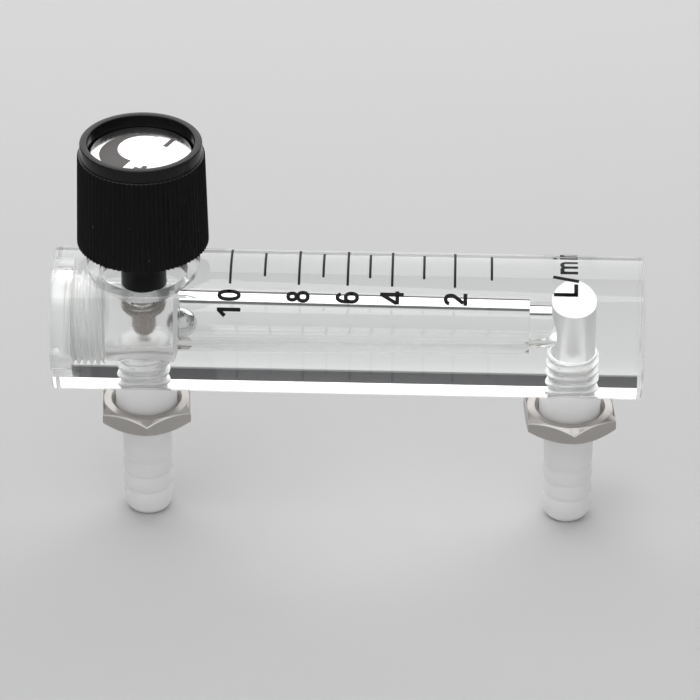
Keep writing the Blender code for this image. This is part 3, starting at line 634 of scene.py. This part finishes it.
def make_bar(finish):
    """The clear bar, with every hollow cut at its own finish."""
    names = ("polished", "bored", "turned", "threaded", "tapped", "plug_tapped", "milled", "frosted",
             "scraped")
    materials = [finish[name] for name in names]
    polished, bored, turned, threaded, tapped, plug_tapped, milled, frosted, scraped = range(len(names))
    radius, edge = BODY_RADIUS, BODY_EDGE
    outside = Turning(FINE_SIDES)
    outside.line([(0.0, RIGHT_X), (radius - edge, RIGHT_X)], polished)
    outside.line([(radius, RIGHT_X - edge)], frosted)
    outside.line([(radius, LEFT_X + edge)], polished)
    outside.line([(radius - edge, LEFT_X)], frosted)
    outside.line([(0.0, LEFT_X)], polished)
    bar = outside.build("clear_bar", materials, (0.0, 0.0, AXIS_Z), along_x=True)

    plug_end = PLUG_HIGH.x + SEAT_GAP
    seat_x = PLUG_SEAL_HIGH.x + SEAT_GAP
    corner = HOLLOW_EDGE
    bore = Turning(FINE_SIDES)
    bore.line([(0.0, LEFT_X - CUT_REACH), (COUNTERBORE_RADIUS, LEFT_X - CUT_REACH)], milled)
    bore.line([(COUNTERBORE_RADIUS, seat_x), (PLUG_CREST + THREAD_GAP, seat_x)], milled)
    bore.thread(PLUG_ROOT + THREAD_GAP, PLUG_CREST + THREAD_GAP, seat_x, plug_end, PLUG_PITCH, plug_tapped,
                seat_x)
    bore.line([(PLUG_ROOT + THREAD_GAP, plug_end), (CHAMBER_RADIUS, plug_end)], turned)
    bore.line([(CHAMBER_RADIUS, plug_end), (CHAMBER_RADIUS, CHAMBER_END_X - CHAMBER_CONE)], turned)
    bore.line([(BORE_MOUTH_RADIUS, CHAMBER_END_X)], scraped)
    bore.line([(BORE_MOUTH_RADIUS, CHAMBER_END_X), (BORE_END_RADIUS, BORE_END_X, corner),
               (THROAT_RADIUS, BORE_END_X)], bored)
    inside_x = INLET_X - INLET_HOLE_RADIUS / 3
    bore.line([(THROAT_RADIUS, inside_x), (0.0, inside_x)], bored)
    bore_cutter = bore.build("bore_cutter", materials, (0.0, 0.0, AXIS_Z), along_x=True)

    port_root, port_crest = PORT_ROOT + THREAD_GAP, PORT_CREST + THREAD_GAP
    under = BAR_LOW.z - CUT_REACH
    collar_room = COLLAR_RADIUS + SEAT_GAP
    inlet_step = INLET_HIGH.z + SEAT_GAP
    inlet = Turning(SMALL_SIDES)
    inlet.line([(0.0, INLET_HOLE_TOP), (INLET_HOLE_RADIUS, INLET_HOLE_TOP, corner),
                (INLET_HOLE_RADIUS, inlet_step)], frosted)
    inlet.thread(port_root, port_crest, inlet_step, COLLAR_SEAT_Z, PORT_PITCH, threaded, COLLAR_SEAT_Z)
    inlet.line([(collar_room, COLLAR_SEAT_Z), (collar_room, under), (0.0, under)], milled)
    inlet_cutter = inlet.build("inlet_cutter", materials, (INLET_X, 0.0, 0.0))

    outlet = Turning(SMALL_SIDES)
    outlet_top = AXIS_Z - CHAMBER_RADIUS * PORT_CUT_SHARE
    outlet.line([(0.0, outlet_top), (port_root, outlet_top)], threaded)
    outlet.thread(port_root, port_crest, outlet_top, COLLAR_SEAT_Z, PORT_PITCH, threaded, COLLAR_SEAT_Z)
    outlet.line([(collar_room, COLLAR_SEAT_Z), (collar_room, under), (0.0, under)], milled)
    outlet_cutter = outlet.build("outlet_cutter", materials, (VALVE_X, 0.0, 0.0))

    over = BAR_HIGH.z + CUT_REACH
    inside_z = AXIS_Z + CHAMBER_RADIUS * POCKET_CUT_SHARE
    root, crest = SPINDLE_ROOT + THREAD_GAP, SPINDLE_CREST + THREAD_GAP
    pocket = Turning(FINE_SIDES)
    pocket.line([(0.0, over), (SPOTFACE_RADIUS, over), (SPOTFACE_RADIUS, SPOTFACE_Z, corner),
                 (RECESS_RADIUS, SPOTFACE_Z)], milled)
    pocket.line([(RECESS_RADIUS, RECESS_Z), (crest, RECESS_Z)], milled)
    pocket.line([(crest, HOLE_THREAD_TOP)], bored)
    pocket.thread(root, crest, HOLE_THREAD_TOP, inside_z, SPINDLE_PITCH, tapped, HOLE_THREAD_TOP)
    pocket.line([(root, inside_z), (0.0, inside_z)], tapped)
    pocket_cutter = pocket.build("pocket_cutter", materials, (VALVE_X, 0.0, 0.0))

    carve(bar, bore_cutter, inlet_cutter, outlet_cutter, pocket_cutter)
    return settle(bar, "meter", "clear_acrylic", "acrylic_body")


def make_plug(finish):
    """The clear end plug, its thread and its slot, with the seal ring behind the flange."""
    root = PLUG_ROOT - THREAD_GAP
    crest = PLUG_CREST - THREAD_GAP
    plug = Turning(FINE_SIDES)
    plug.line([(0.0, PLUG_HIGH.x), (root, PLUG_HIGH.x)])
    plug.thread(root, crest, PLUG_HIGH.x, FLANGE_BACK_X, PLUG_PITCH)
    plug.line([(root, FLANGE_BACK_X), (FLANGE_RADIUS, FLANGE_BACK_X, PLUG_EDGE / 2),
               (FLANGE_RADIUS, LEFT_X, PLUG_EDGE), (0.0, LEFT_X)])
    centre = (0.0, 0.0, AXIS_Z)
    piece = plug.build("clear_end_plug", [finish["plug"]], centre, along_x=True)
    size = (2 * PLUG_SLOT_DEPTH, 3 * FLANGE_RADIUS, PLUG_SLOT_WIDTH)
    tilt = Matrix.Rotation(PLUG_SLOT_TILT, 4, "X")
    slot = add_box("plug_slot", size, (LEFT_X, 0.0, AXIS_Z), [finish["tapped"]], tilt)
    carve(piece, slot)
    settle(piece, "meter", "clear_plug", "end_plug")

    inner = PLUG_CREST + SEAT_GAP
    outer = (PLUG_SEAL_HIGH.y - PLUG_SEAL_LOW.y) / 2
    low, high = PLUG_SEAL_LOW.x, PLUG_SEAL_HIGH.x
    corner = (high - low) / 3
    ring = Turning(FINE_SIDES)
    middle = (inner + outer) / 2
    ring.line([(middle, high), (outer, high, corner), (outer, low, corner), (inner, low, corner),
               (inner, high, corner), (middle, high)])
    seal = ring.build("seal_ring", [finish["seal"]], centre, along_x=True)
    settle(seal, "meter", "pale_seal", "plug_seal")


def hose_profile(tip_z):
    """The collar, cone, barbs and rounded tip, from the top down."""
    points = [(COLLAR_RADIUS, COLLAR_TOP_Z, COLLAR_TOP_EDGE), (COLLAR_RADIUS, CONE_TOP_Z, COLLAR_FOOT_EDGE),
              (HOSE_RADIUS, CONE_FOOT_Z, CONE_ROUNDING),
              (HOSE_RADIUS - BARB_NOTCH / 3, BARBS_TOP_Z + BARB_PITCH / 5, CONE_ROUNDING)]
    for step in range(BARB_COUNT * BARB_STEPS - BARB_STEPS // 3):
        bulge = math.sin(math.pi * (step % BARB_STEPS) / BARB_STEPS) ** BULGE_POWER
        points.append((HOSE_RADIUS - BARB_NOTCH * (1 - bulge), BARBS_TOP_Z - BARB_PITCH * step / BARB_STEPS))
    points.append((HOSE_RADIUS - TIP_NARROWING / 4, tip_z + TIP_LENGTH / 2, TIP_SHOULDER_EDGE))
    points.append((HOSE_RADIUS - TIP_NARROWING, tip_z, TIP_EDGE))
    return points


def make_fitting(name, node, low, high, has_seat, finish):
    """A nylon hose barb, threaded above its collar and open from end to end."""
    x = (low.x + high.x) / 2
    top = high.z - SEAT_RIM_RISE if has_seat else high.z
    root = PORT_ROOT - THREAD_GAP
    crest = PORT_CREST - THREAD_GAP
    part = Turning(SMALL_SIDES)
    if has_seat:
        orifice_foot = high.z - ORIFICE_LENGTH
        widening = HOSE_BORE_RADIUS - ORIFICE_RADIUS
        part.line([(HOSE_BORE_RADIUS, low.z), (HOSE_BORE_RADIUS, orifice_foot - widening, ORIFICE_EDGE),
                   (ORIFICE_RADIUS, orifice_foot, ORIFICE_EDGE), (ORIFICE_RADIUS, high.z, SEAT_RIM_EDGE),
                   (SEAT_RIM_RADIUS, high.z, SEAT_RIM_EDGE), (SEAT_RIM_RADIUS, top, SEAT_FOOT_EDGE),
                   (root, top)])
    else:
        part.line([(HOSE_BORE_RADIUS, low.z), (HOSE_BORE_RADIUS, top, HOSE_BORE_EDGE), (root, top)])
    part.thread(root, crest, top, COLLAR_TOP_Z, PORT_PITCH)
    part.line([(root, COLLAR_TOP_Z)] + hose_profile(low.z) + [(HOSE_BORE_RADIUS, low.z)])
    piece = part.build(name, [finish["nylon"]], (x, 0.0, 0.0), closed=True)
    settle(piece, "meter", "white_nylon", node)


def make_nut(name, node, x, finish):
    """A hexagon nut, turned down at its corners, with a countersunk bore and a painted highlight on its
    broken edges.
    """
    flat_radius = NUT_ACROSS_FLATS / 2
    face = flat_radius - NUT_CHAMFER
    low, high = NUT_LOW.z, NUT_HIGH.z
    middle = (low + high) / 2
    nut = Turning(NUT_SIDES, NUT_TURNS[node])

    def hexagon(inset, drop, up):
        """A row near one face: inset from the flats, and dropped from the turned-down corners."""
        def shape(angle):
            wide = flat_radius / math.cos((angle + math.pi / 6) % (math.pi / 3) - math.pi / 6) - inset
            fall = max(0.0, wide - face) * math.tan(NUT_CORNER_SLOPE) + drop
            return wide, middle + up * (high - middle - fall)
        return shape

    def face_rim(up):
        """The round rim of one face, where the corners start to fall away."""
        return lambda angle: (face, middle + up * (high - middle))

    bore, edge = NUT_BORE_RADIUS, NUT_BORE_EDGE
    nut.line([(bore, low + edge), (bore, high - edge), (bore + edge, high)])
    nut.row(face_rim(1))
    nut.row(hexagon(NUT_EDGE, 0.0, 1))
    # The marked strips along the broken edges take the paler nickel: a painted highlight.
    nut.row(hexagon(0.0, NUT_EDGE, 1), 1)
    nut.row(hexagon(0.0, NUT_EDGE, -1))
    nut.row(hexagon(NUT_EDGE, 0.0, -1), 1)
    nut.row(face_rim(-1))
    nut.line([(bore + edge, low)])
    nut.row(lambda angle: (bore, low + edge))
    piece = nut.build(name, [finish["nickel"], finish["edge"]], (x, 0.0, 0.0))
    settle(piece, "meter", "nut_steel", node)


def make_ball(finish):
    """The polished float ball."""
    ball = Turning(SMALL_SIDES)
    centre = (BALL_LOW + BALL_HIGH) / 2
    steps = SMALL_SIDES // 2
    for step in range(steps + 1):
        angle = math.pi * step / steps
        place = (BALL_RADIUS * math.sin(angle), centre.z + BALL_RADIUS * math.cos(angle))
        ball.row(lambda around: place)
    settle(ball.build("steel_float", [finish["ball"]], centre), "float", "ball_steel", "float_ball")


def flatted(radius, height, flat):
    """A round row with a flat on its far side."""
    def shape(angle):
        across = math.sin(angle) * radius
        return (radius * flat / across if across > flat else radius), height
    return shape


def make_spindle(finish):
    """The valve spindle: post, neck, seal groove, thread and tip."""
    neck_top = KNOB_LOW.z + HUB_SETBACK - SEAT_GAP
    flat = POST_RADIUS - POST_FLAT
    hole_foot = SPINDLE_HIGH.z - POST_HOLE_DEPTH
    half = SPINDLE_SEAL_SECTION / 2 + SPINDLE_GROOVE_ROOM
    tip_top = SPINDLE_THREAD_FOOT - (NECK_RADIUS - SPINDLE_TIP_RADIUS) / 2
    part = Turning(SMALL_SIDES)
    part.line([(0.0, hole_foot), (SCREW_HOLE_RADIUS, hole_foot), (SCREW_HOLE_RADIUS, SPINDLE_HIGH.z)])
    part.row(flatted(POST_RADIUS, SPINDLE_HIGH.z, flat))
    part.row(flatted(POST_RADIUS, neck_top, flat))
    part.line([(NECK_RADIUS, neck_top, NECK_EDGE), (NECK_RADIUS, SPINDLE_SEAL_Z + half, SPINDLE_GROOVE_EDGE),
               (SPINDLE_GROOVE_RADIUS, SPINDLE_SEAL_Z + half), (SPINDLE_GROOVE_RADIUS, SPINDLE_SEAL_Z - half),
               (NECK_RADIUS, SPINDLE_SEAL_Z - half, SPINDLE_GROOVE_EDGE),
               (NECK_RADIUS, SPINDLE_THREAD_TOP + THREAD_GAP), (SPINDLE_ROOT, SPINDLE_THREAD_TOP)])
    part.thread(SPINDLE_ROOT, NECK_RADIUS, SPINDLE_THREAD_TOP, SPINDLE_THREAD_FOOT, SPINDLE_PITCH, 1)
    part.line([(SPINDLE_ROOT, SPINDLE_THREAD_FOOT), (SPINDLE_TIP_RADIUS, tip_top, SPINDLE_TIP_EDGE),
               (SPINDLE_TIP_RADIUS, SPINDLE_LOW.z), (PAD_SOCKET_RADIUS, SPINDLE_LOW.z),
               (PAD_SOCKET_RADIUS, PAD_HIGH.z + SEAT_GAP), (0.0, PAD_HIGH.z + SEAT_GAP)], 1)
    piece = part.build("needle_spindle", [finish["spindle"], finish["tip"]], (VALVE_X, 0.0, 0.0))
    settle(piece, "knob", "spindle_black", "valve_spindle")


def make_knob(finish):
    """The moulded knob: fine ribs, a smooth band and rim, a well above and a hollow below."""
    skirt, rim, sheen_ledge = range(3)
    foot, top = KNOB_LOW.z, KNOB_HIGH.z
    shoulder = top - BAND_HEIGHT
    part = Turning(RIB_COUNT * RIB_COLUMNS)

    def ribbed(radius, height, depth):
        """A row with a rib for each wave round it."""
        def shape(angle):
            wave = (1 + math.cos(RIB_COUNT * angle)) / 2
            return radius - depth * (1 - wave ** RIB_POWER), height
        return shape

    part.line([(0.0, WELL_FLOOR_Z), (WELL_RADIUS - WELL_DRAFT, WELL_FLOOR_Z, WELL_EDGE),
               (WELL_RADIUS, top, WELL_EDGE), (KNOB_TOP_RADIUS, top, RIM_EDGE),
               (KNOB_TOP_RADIUS, shoulder)], rim)
    # The ledge under the band takes the paler black, a painted sheen.
    part.line([(SKIRT_TOP_RADIUS - RIB_DEPTH, shoulder)], sheen_ledge)
    for step in range(SHOULDER_STEPS + 1):
        angle = math.pi / 2 * step / SHOULDER_STEPS
        drop = RIB_DEPTH * (1 - math.cos(angle))
        out = SKIRT_TOP_RADIUS - RIB_DEPTH * (1 - math.sin(angle))
        mark = sheen_ledge if step < SHOULDER_STEPS - 1 else skirt
        part.row(ribbed(out, shoulder - drop, RIB_DEPTH * math.sin(angle)), mark)
    for step in range(1, SKIRT_ROWS + 1):
        share = step / SKIRT_ROWS
        radius = SKIRT_TOP_RADIUS + (SKIRT_FOOT_RADIUS - SKIRT_TOP_RADIUS) * share
        part.row(ribbed(radius, shoulder + (foot - shoulder) * share, RIB_DEPTH), skirt)
    wall = SKIRT_FOOT_RADIUS - RIB_DEPTH - KNOB_WALL
    web = WELL_FLOOR_Z - KNOB_WEB
    hub_foot = foot + HUB_SETBACK
    hole = POST_RADIUS + SEAT_GAP
    part.line([(wall + KNOB_FOOT_FLARE, foot), (wall - KNOB_WEB_DRAFT, web, KNOB_WEB_EDGE),
               (HUB_RADIUS, web, KNOB_WEB_EDGE), (HUB_RADIUS, hub_foot, HUB_EDGE), (hole, hub_foot)], skirt)
    part.row(flatted(hole, hub_foot, hole - POST_FLAT), skirt)
    part.row(flatted(hole, POST_HOLE_TOP_Z, hole - POST_FLAT), skirt)
    part.line([(0.0, POST_HOLE_TOP_Z)], skirt)
    materials = [finish["knob"], finish["rim"], finish["shoulder"]]
    knob = part.build("control_knob", materials, (VALVE_X, 0.0, 0.0))

    screw = Turning(SMALL_SIDES)
    screw.line([(0.0, WELL_FLOOR_Z + SEAT_GAP), (SCREW_HEAD_ROOM, WELL_FLOOR_Z + SEAT_GAP),
                (SCREW_HEAD_ROOM, SCREW_SEAT_Z), (SCREW_HOLE_RADIUS, SCREW_SEAT_Z),
                (SCREW_HOLE_RADIUS, POST_HOLE_TOP_Z - SEAT_GAP), (0.0, POST_HOLE_TOP_Z - SEAT_GAP)])
    carve(knob, screw.build("screw_room", [finish["rim"]], (VALVE_X, 0.0, 0.0)))
    settle(knob, "knob", "knob_black", "knob")


def flat_shape(name, outlines, low, high, materials, place, strip=None):
    """Closed outlines filled, cut into strips, given a thickness and put in place."""
    bm = bmesh.new()
    for outline in outlines:
        bm.faces.new([bm.verts.new((x, y, low)) for x, y in outline])
    if strip:
        cut_strips(bm, strip)
    return thicken(name, bm, high - low, materials, place)


def cut_strips(bm, strip):
    """Cuts flat faces across Y, so that they can follow a round surface."""
    heights = [vertex.co.y for vertex in bm.verts]
    first, last = math.floor(min(heights) / strip), math.ceil(max(heights) / strip)
    for line in range(first, last + 1):
        everything = bm.verts[:] + bm.edges[:] + bm.faces[:]
        bmesh.ops.bisect_plane(bm, geom=everything, dist=MERGE / 10, plane_co=(0.0, line * strip, 0.0),
                               plane_no=(0.0, 1.0, 0.0))


def thicken(name, bm, thickness, materials, place):
    """Gives flat faces a thickness, moves every point to its place and makes the piece."""
    made = bmesh.ops.extrude_face_region(bm, geom=bm.faces[:], use_keep_orig=True)
    for item in made["geom"]:
        if isinstance(item, bmesh.types.BMVert):
            item.co.z += thickness
    for vertex in bm.verts:
        vertex.co = place(vertex.co)
    mesh = bpy.data.meshes.new(name)
    bm.to_mesh(mesh)
    bm.free()
    return add_mesh(name, mesh, materials)


def wrap(point):
    """Lays a point of the unrolled scale on the bar: Y runs round it, Z stands off it."""
    angle = point.y / BODY_RADIUS
    radius = BODY_RADIUS + point.z
    return Vector((point.x, radius * math.sin(angle), AXIS_Z + radius * math.cos(angle)))


def squarer(share):
    """Pushes a sine or cosine outwards, so that a round loop comes out squarer."""
    return math.copysign(abs(share) ** (2 / BOW_SQUARENESS), share)


def bow(centre, wide, tall, first=0.0, last=360.0):
    """Points on a rounded loop, or on a part of it, as wide and tall as the outside of its stroke."""
    points = []
    for step in range(BOW_STEPS + 1):
        angle = math.radians(first + (last - first) * step / BOW_STEPS)
        across = (wide - STROKE) / 2 * squarer(math.cos(angle))
        up = (tall - STROKE) / 2 * squarer(math.sin(angle))
        points.append(Vector((centre[0] + across, centre[1] + up)))
    return points


def character(letter):
    """The strokes of a character, in shares of its height, from its left edge and its foot."""
    half = STROKE / 2
    if letter == "0":
        return [bow((0.26, 0.5), 0.52, 1.0)]
    if letter == "1":
        return [[(0.25 + half, 0.0), (0.25 + half, 1.0)], [(0.25 + half, 0.94), (0.06, 0.67)]]
    if letter == "2":
        top = bow((0.27, 0.7), 0.54, 0.6, 168.0, -38.0)
        return [top + [Vector((half + 0.02, STROKE))], [(0.0, half), (0.55, half)]]
    if letter == "4":
        return [[(0.45, 0.0), (0.45, 1.0)], [(0.0, 0.27), (0.6, 0.27)], [(0.43, 0.93), (0.05, 0.3)]]
    if letter == "6":
        return [bow((0.27, 0.325), 0.54, 0.65), bow((0.27, 0.5), 0.54, 1.0, 38.0, 190.0)]
    if letter == "8":
        return [bow((0.27, 0.745), 0.46, 0.51), bow((0.27, 0.29), 0.54, 0.58)]
    if letter == "L":
        return [[(half, 0.0), (half, 1.0)], [(0.0, half), (0.6, half)]]
    if letter == "/":
        return [[(0.04, -0.03), (0.27, 1.03)]]
    if letter == "m":
        hump = 0.36
        humps = [bow((half + hump * (side + 0.5), 0.48), hump + STROKE, 0.5, 180.0, 0.0) for side in range(2)]
        tops = (0.73, 0.5, 0.5)
        stems = [[(half + hump * side, 0.0), (half + hump * side, top)] for side, top in enumerate(tops)]
        return humps + stems
    if letter == "i":
        return [[(half, 0.0), (half, 0.73)], [(half, 0.85), (half, 1.0)]]
    hump = 0.42
    return [bow((half + hump / 2, 0.46), hump + STROKE, 0.54, 180.0, 0.0),
            [(half, 0.0), (half, 0.73)], [(half + hump, 0.0), (half + hump, 0.48)]]


def lay_stroke(bm, path, width):
    """A stroke of even width along a path, as flat faces with square ends."""
    path = [Vector(point) for point in path]
    closed = (path[0] - path[-1]).length < MERGE
    edges = []
    for index, point in enumerate(path):
        before = path[index - 1] if index else (path[-2] if closed else point)
        after = path[index + 1] if index + 1 < len(path) else (path[1] if closed else point)
        along = (after - before).normalized()
        across = Vector((-along.y, along.x)) * width / 2
        edges.append([bm.verts.new((*(point + across), 0.0)), bm.verts.new((*(point - across), 0.0))])
    for first, second in zip(edges, edges[1:]):
        bm.faces.new((first[0], first[1], second[1], second[0]))


def print_word(name, letters, x, start, height, finish):
    """Characters that read round the bar, away from the camera, with their tops to the left."""
    bm = bmesh.new()
    for letter, offset in letters:
        for path in character(letter):
            lay_stroke(bm, [(point[0] + offset, point[1]) for point in path], STROKE)
    for vertex in bm.verts:
        along, up = vertex.co.x * height, vertex.co.y * height
        vertex.co = (x + height / 2 - up, along - start * BODY_RADIUS, -INK_DEPTH)
    cut_strips(bm, INK_STRIP)
    word = thicken(name, bm, INK_DEPTH + INK_HEIGHT, [finish["print"]], wrap)
    settle(word, "meter", None)


def make_scale(finish):
    """The flow scale: a tick for each litre, a number for every second one, and the unit."""
    ticks = []
    for number, x in TICK_PLACES.items():
        front, back = SHORT_TICK if number % 2 else LONG_TICK
        left, right = x - TICK_WIDTH / 2, x + TICK_WIDTH / 2
        near, far = -front * BODY_RADIUS, -back * BODY_RADIUS
        ticks.append([(left, near), (right, near), (right, far), (left, far)])
    marks = flat_shape("scale_ticks", ticks, -INK_DEPTH, INK_HEIGHT, [finish["print"]], wrap, INK_STRIP)
    settle(marks, "meter", None)
    for number, x in NUMBER_PLACES.items():
        letters = TEN_LETTERS if number == 10 else ((str(number), 0.0),)
        start = TEN_START if number == 10 else NUMBER_START
        print_word(f"scale_number_{number}", letters, x, start, NUMBER_HEIGHT, finish)
    print_word("scale_unit", UNIT_LETTERS, UNIT_X, UNIT_START, UNIT_HEIGHT, finish)


def make_disc(finish):
    """The brushed disc in the knob, with its printed crescent and signs."""
    x, top = VALVE_X, DISC_HIGH.z
    part = Turning(FINE_SIDES)
    part.line([(0.0, DISC_LOW.z), (DISC_RADIUS, DISC_LOW.z, 0.00005), (DISC_RADIUS, top, 0.0001), (0.0, top)])
    disc = part.build("knob_disc", [finish["disc"]], (x, 0.0, 0.0))
    settle(disc, "knob", "disc_metal", "knob_insert")

    def on_disc(point):
        """Turns a point of the graphic and lays it on the disc."""
        turned_point = Matrix.Rotation(GRAPHIC_TURN, 3, "Z") @ Vector((point.x, point.y, 0.0)) * DISC_RADIUS
        return Vector((x + turned_point.x, turned_point.y, top + point.z))

    def print_mark(name, outlines):
        """Prints a mark on the disc."""
        mark = flat_shape(name, outlines, 0.0, 2 * INK_HEIGHT, [finish["graphic"]], on_disc)
        settle(mark, "knob", None)

    def bar(place, wide, tall):
        """The outline of a bar about its middle."""
        left, foot = place[0] - wide / 2, place[1] - tall / 2
        return [(left, foot), (left + wide, foot), (left + wide, foot + tall), (left, foot + tall)]

    (outer_x, outer), (inner_x, inner) = CRESCENT_OUTER, CRESCENT_INNER
    rim, hollow = [], []
    for step in range(CRESCENT_STEPS + 1):
        angle = math.pi * (1 - step / CRESCENT_STEPS)
        rim.append((outer_x + outer * math.cos(angle), outer * math.sin(angle)))
        hollow.append((inner_x + inner * math.cos(angle), inner * math.sin(angle)))
    print_mark("disc_crescent", [rim + hollow[::-1]])
    print_mark("disc_minus", [bar(MINUS_PLACE, SIGN_LENGTH, SIGN_WIDTH)])
    arm = (SIGN_LENGTH - SIGN_WIDTH) / 2
    left = (PLUS_PLACE[0] - (arm + SIGN_WIDTH) / 2, PLUS_PLACE[1])
    right = (PLUS_PLACE[0] + (arm + SIGN_WIDTH) / 2, PLUS_PLACE[1])
    print_mark("disc_plus", [bar(PLUS_PLACE, SIGN_WIDTH, SIGN_LENGTH), bar(left, arm, SIGN_WIDTH),
                             bar(right, arm, SIGN_WIDTH)])


def finish_nodes(finish):
    """Gives the frame's own small pieces their finishes."""
    for node, name in (("knob_screw", "screw"), ("spindle_seal", "ring"), ("valve_pad", "pad")):
        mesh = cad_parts[node].data
        mesh.materials.clear()
        mesh.materials.append(finish[name])


def add_lamp(name, place, size, power, aim):
    """A soft box that faces a point."""
    data = bpy.data.lights.new(name, "AREA")
    data.shape = "RECTANGLE"
    data.size, data.size_y = size
    data.energy = power
    lamp = add_object(name, data)
    lamp.location = place
    lamp.rotation_mode = "QUATERNION"
    lamp.rotation_quaternion = (Vector(aim) - Vector(place)).to_track_quat("-Z", "Y")


def add_camera():
    """The photograph's view."""
    data = bpy.data.cameras.new("camera")
    data.lens = CAMERA_LENS
    data.sensor_width = SENSOR_WIDTH
    level = math.cos(CAMERA_ELEVATION)
    back = Vector((math.sin(CAMERA_AZIMUTH) * level, -math.cos(CAMERA_AZIMUTH) * level,
                   math.sin(CAMERA_ELEVATION)))
    camera = add_object("camera", data)
    camera.location = CAMERA_TARGET + CAMERA_DISTANCE * back
    camera.rotation_mode = "QUATERNION"
    camera.rotation_quaternion = (-back).to_track_quat("-Z", "Y") @ Quaternion((0.0, 0.0, 1.0), CAMERA_ROLL)
    bpy.context.scene.camera = camera


def add_floor():
    """A plain pale floor."""
    shader = Shader("floor", roughness=0.7, specular_ior_level=0.2)
    tone = shader.noise(6.0, shader.place(), 2.0)
    shader.set(shader.main, "Base Color", shader.mix(tone, FLOOR_DARK, FLOOR_LIGHT))
    mesh = bpy.data.meshes.new("floor")
    half = FLOOR_HALF
    corners = [(-half, -half, 0.0), (half, -half, 0.0), (half, half, 0.0), (-half, half, 0.0)]
    mesh.from_pydata(corners, [], [(0, 1, 2, 3)])
    mesh.materials.append(shader.material)
    floor = add_object("floor", mesh)
    floor.location.z = -FLOOR_DROP


def add_world():
    """A grey studio, dark behind the object and lighter above and in front."""
    world = bpy.data.worlds.new("studio")
    world.use_nodes = True
    tree = world.node_tree
    sky = tree.nodes["Background"]
    direction = tree.nodes.new("ShaderNodeTexCoord").outputs["Generated"]
    slope = tree.nodes.new("ShaderNodeVectorMath")
    slope.operation = "DOT_PRODUCT"
    slope.inputs[1].default_value = SKY_SLOPE
    ramp = tree.nodes.new("ShaderNodeValToRGB")
    tree.links.new(direction, slope.inputs[0])
    tree.links.new(slope.outputs["Value"], ramp.inputs["Fac"])
    tree.links.new(ramp.outputs["Color"], sky.inputs["Color"])
    for stop, (position, colour) in zip(ramp.color_ramp.elements, SKY_STOPS):
        stop.position = position
        stop.color = colour
    bpy.context.scene.world = world


def make_studio():
    """Camera, floor, soft boxes and the grey studio round them."""
    add_camera()
    add_floor()
    add_world()
    aim = (0.0, 0.0, AXIS_Z)
    for name, (place, size, power) in LAMPS.items():
        add_lamp(name, place, size, power, aim)
    bpy.context.scene.view_settings.view_transform = "Standard"


make_studio()
finish = make_materials()
make_bar(finish)
make_plug(finish)
make_fitting("outlet_barb", "outlet_fitting", OUTLET_LOW, OUTLET_HIGH, True, finish)
make_fitting("inlet_barb", "inlet_fitting", INLET_LOW, INLET_HIGH, False, finish)
make_nut("outlet_panel_nut", "outlet_nut", VALVE_X, finish)
make_nut("inlet_panel_nut", "inlet_nut", INLET_X, finish)
make_ball(finish)
make_spindle(finish)
make_knob(finish)
make_disc(finish)
make_scale(finish)
finish_nodes(finish)
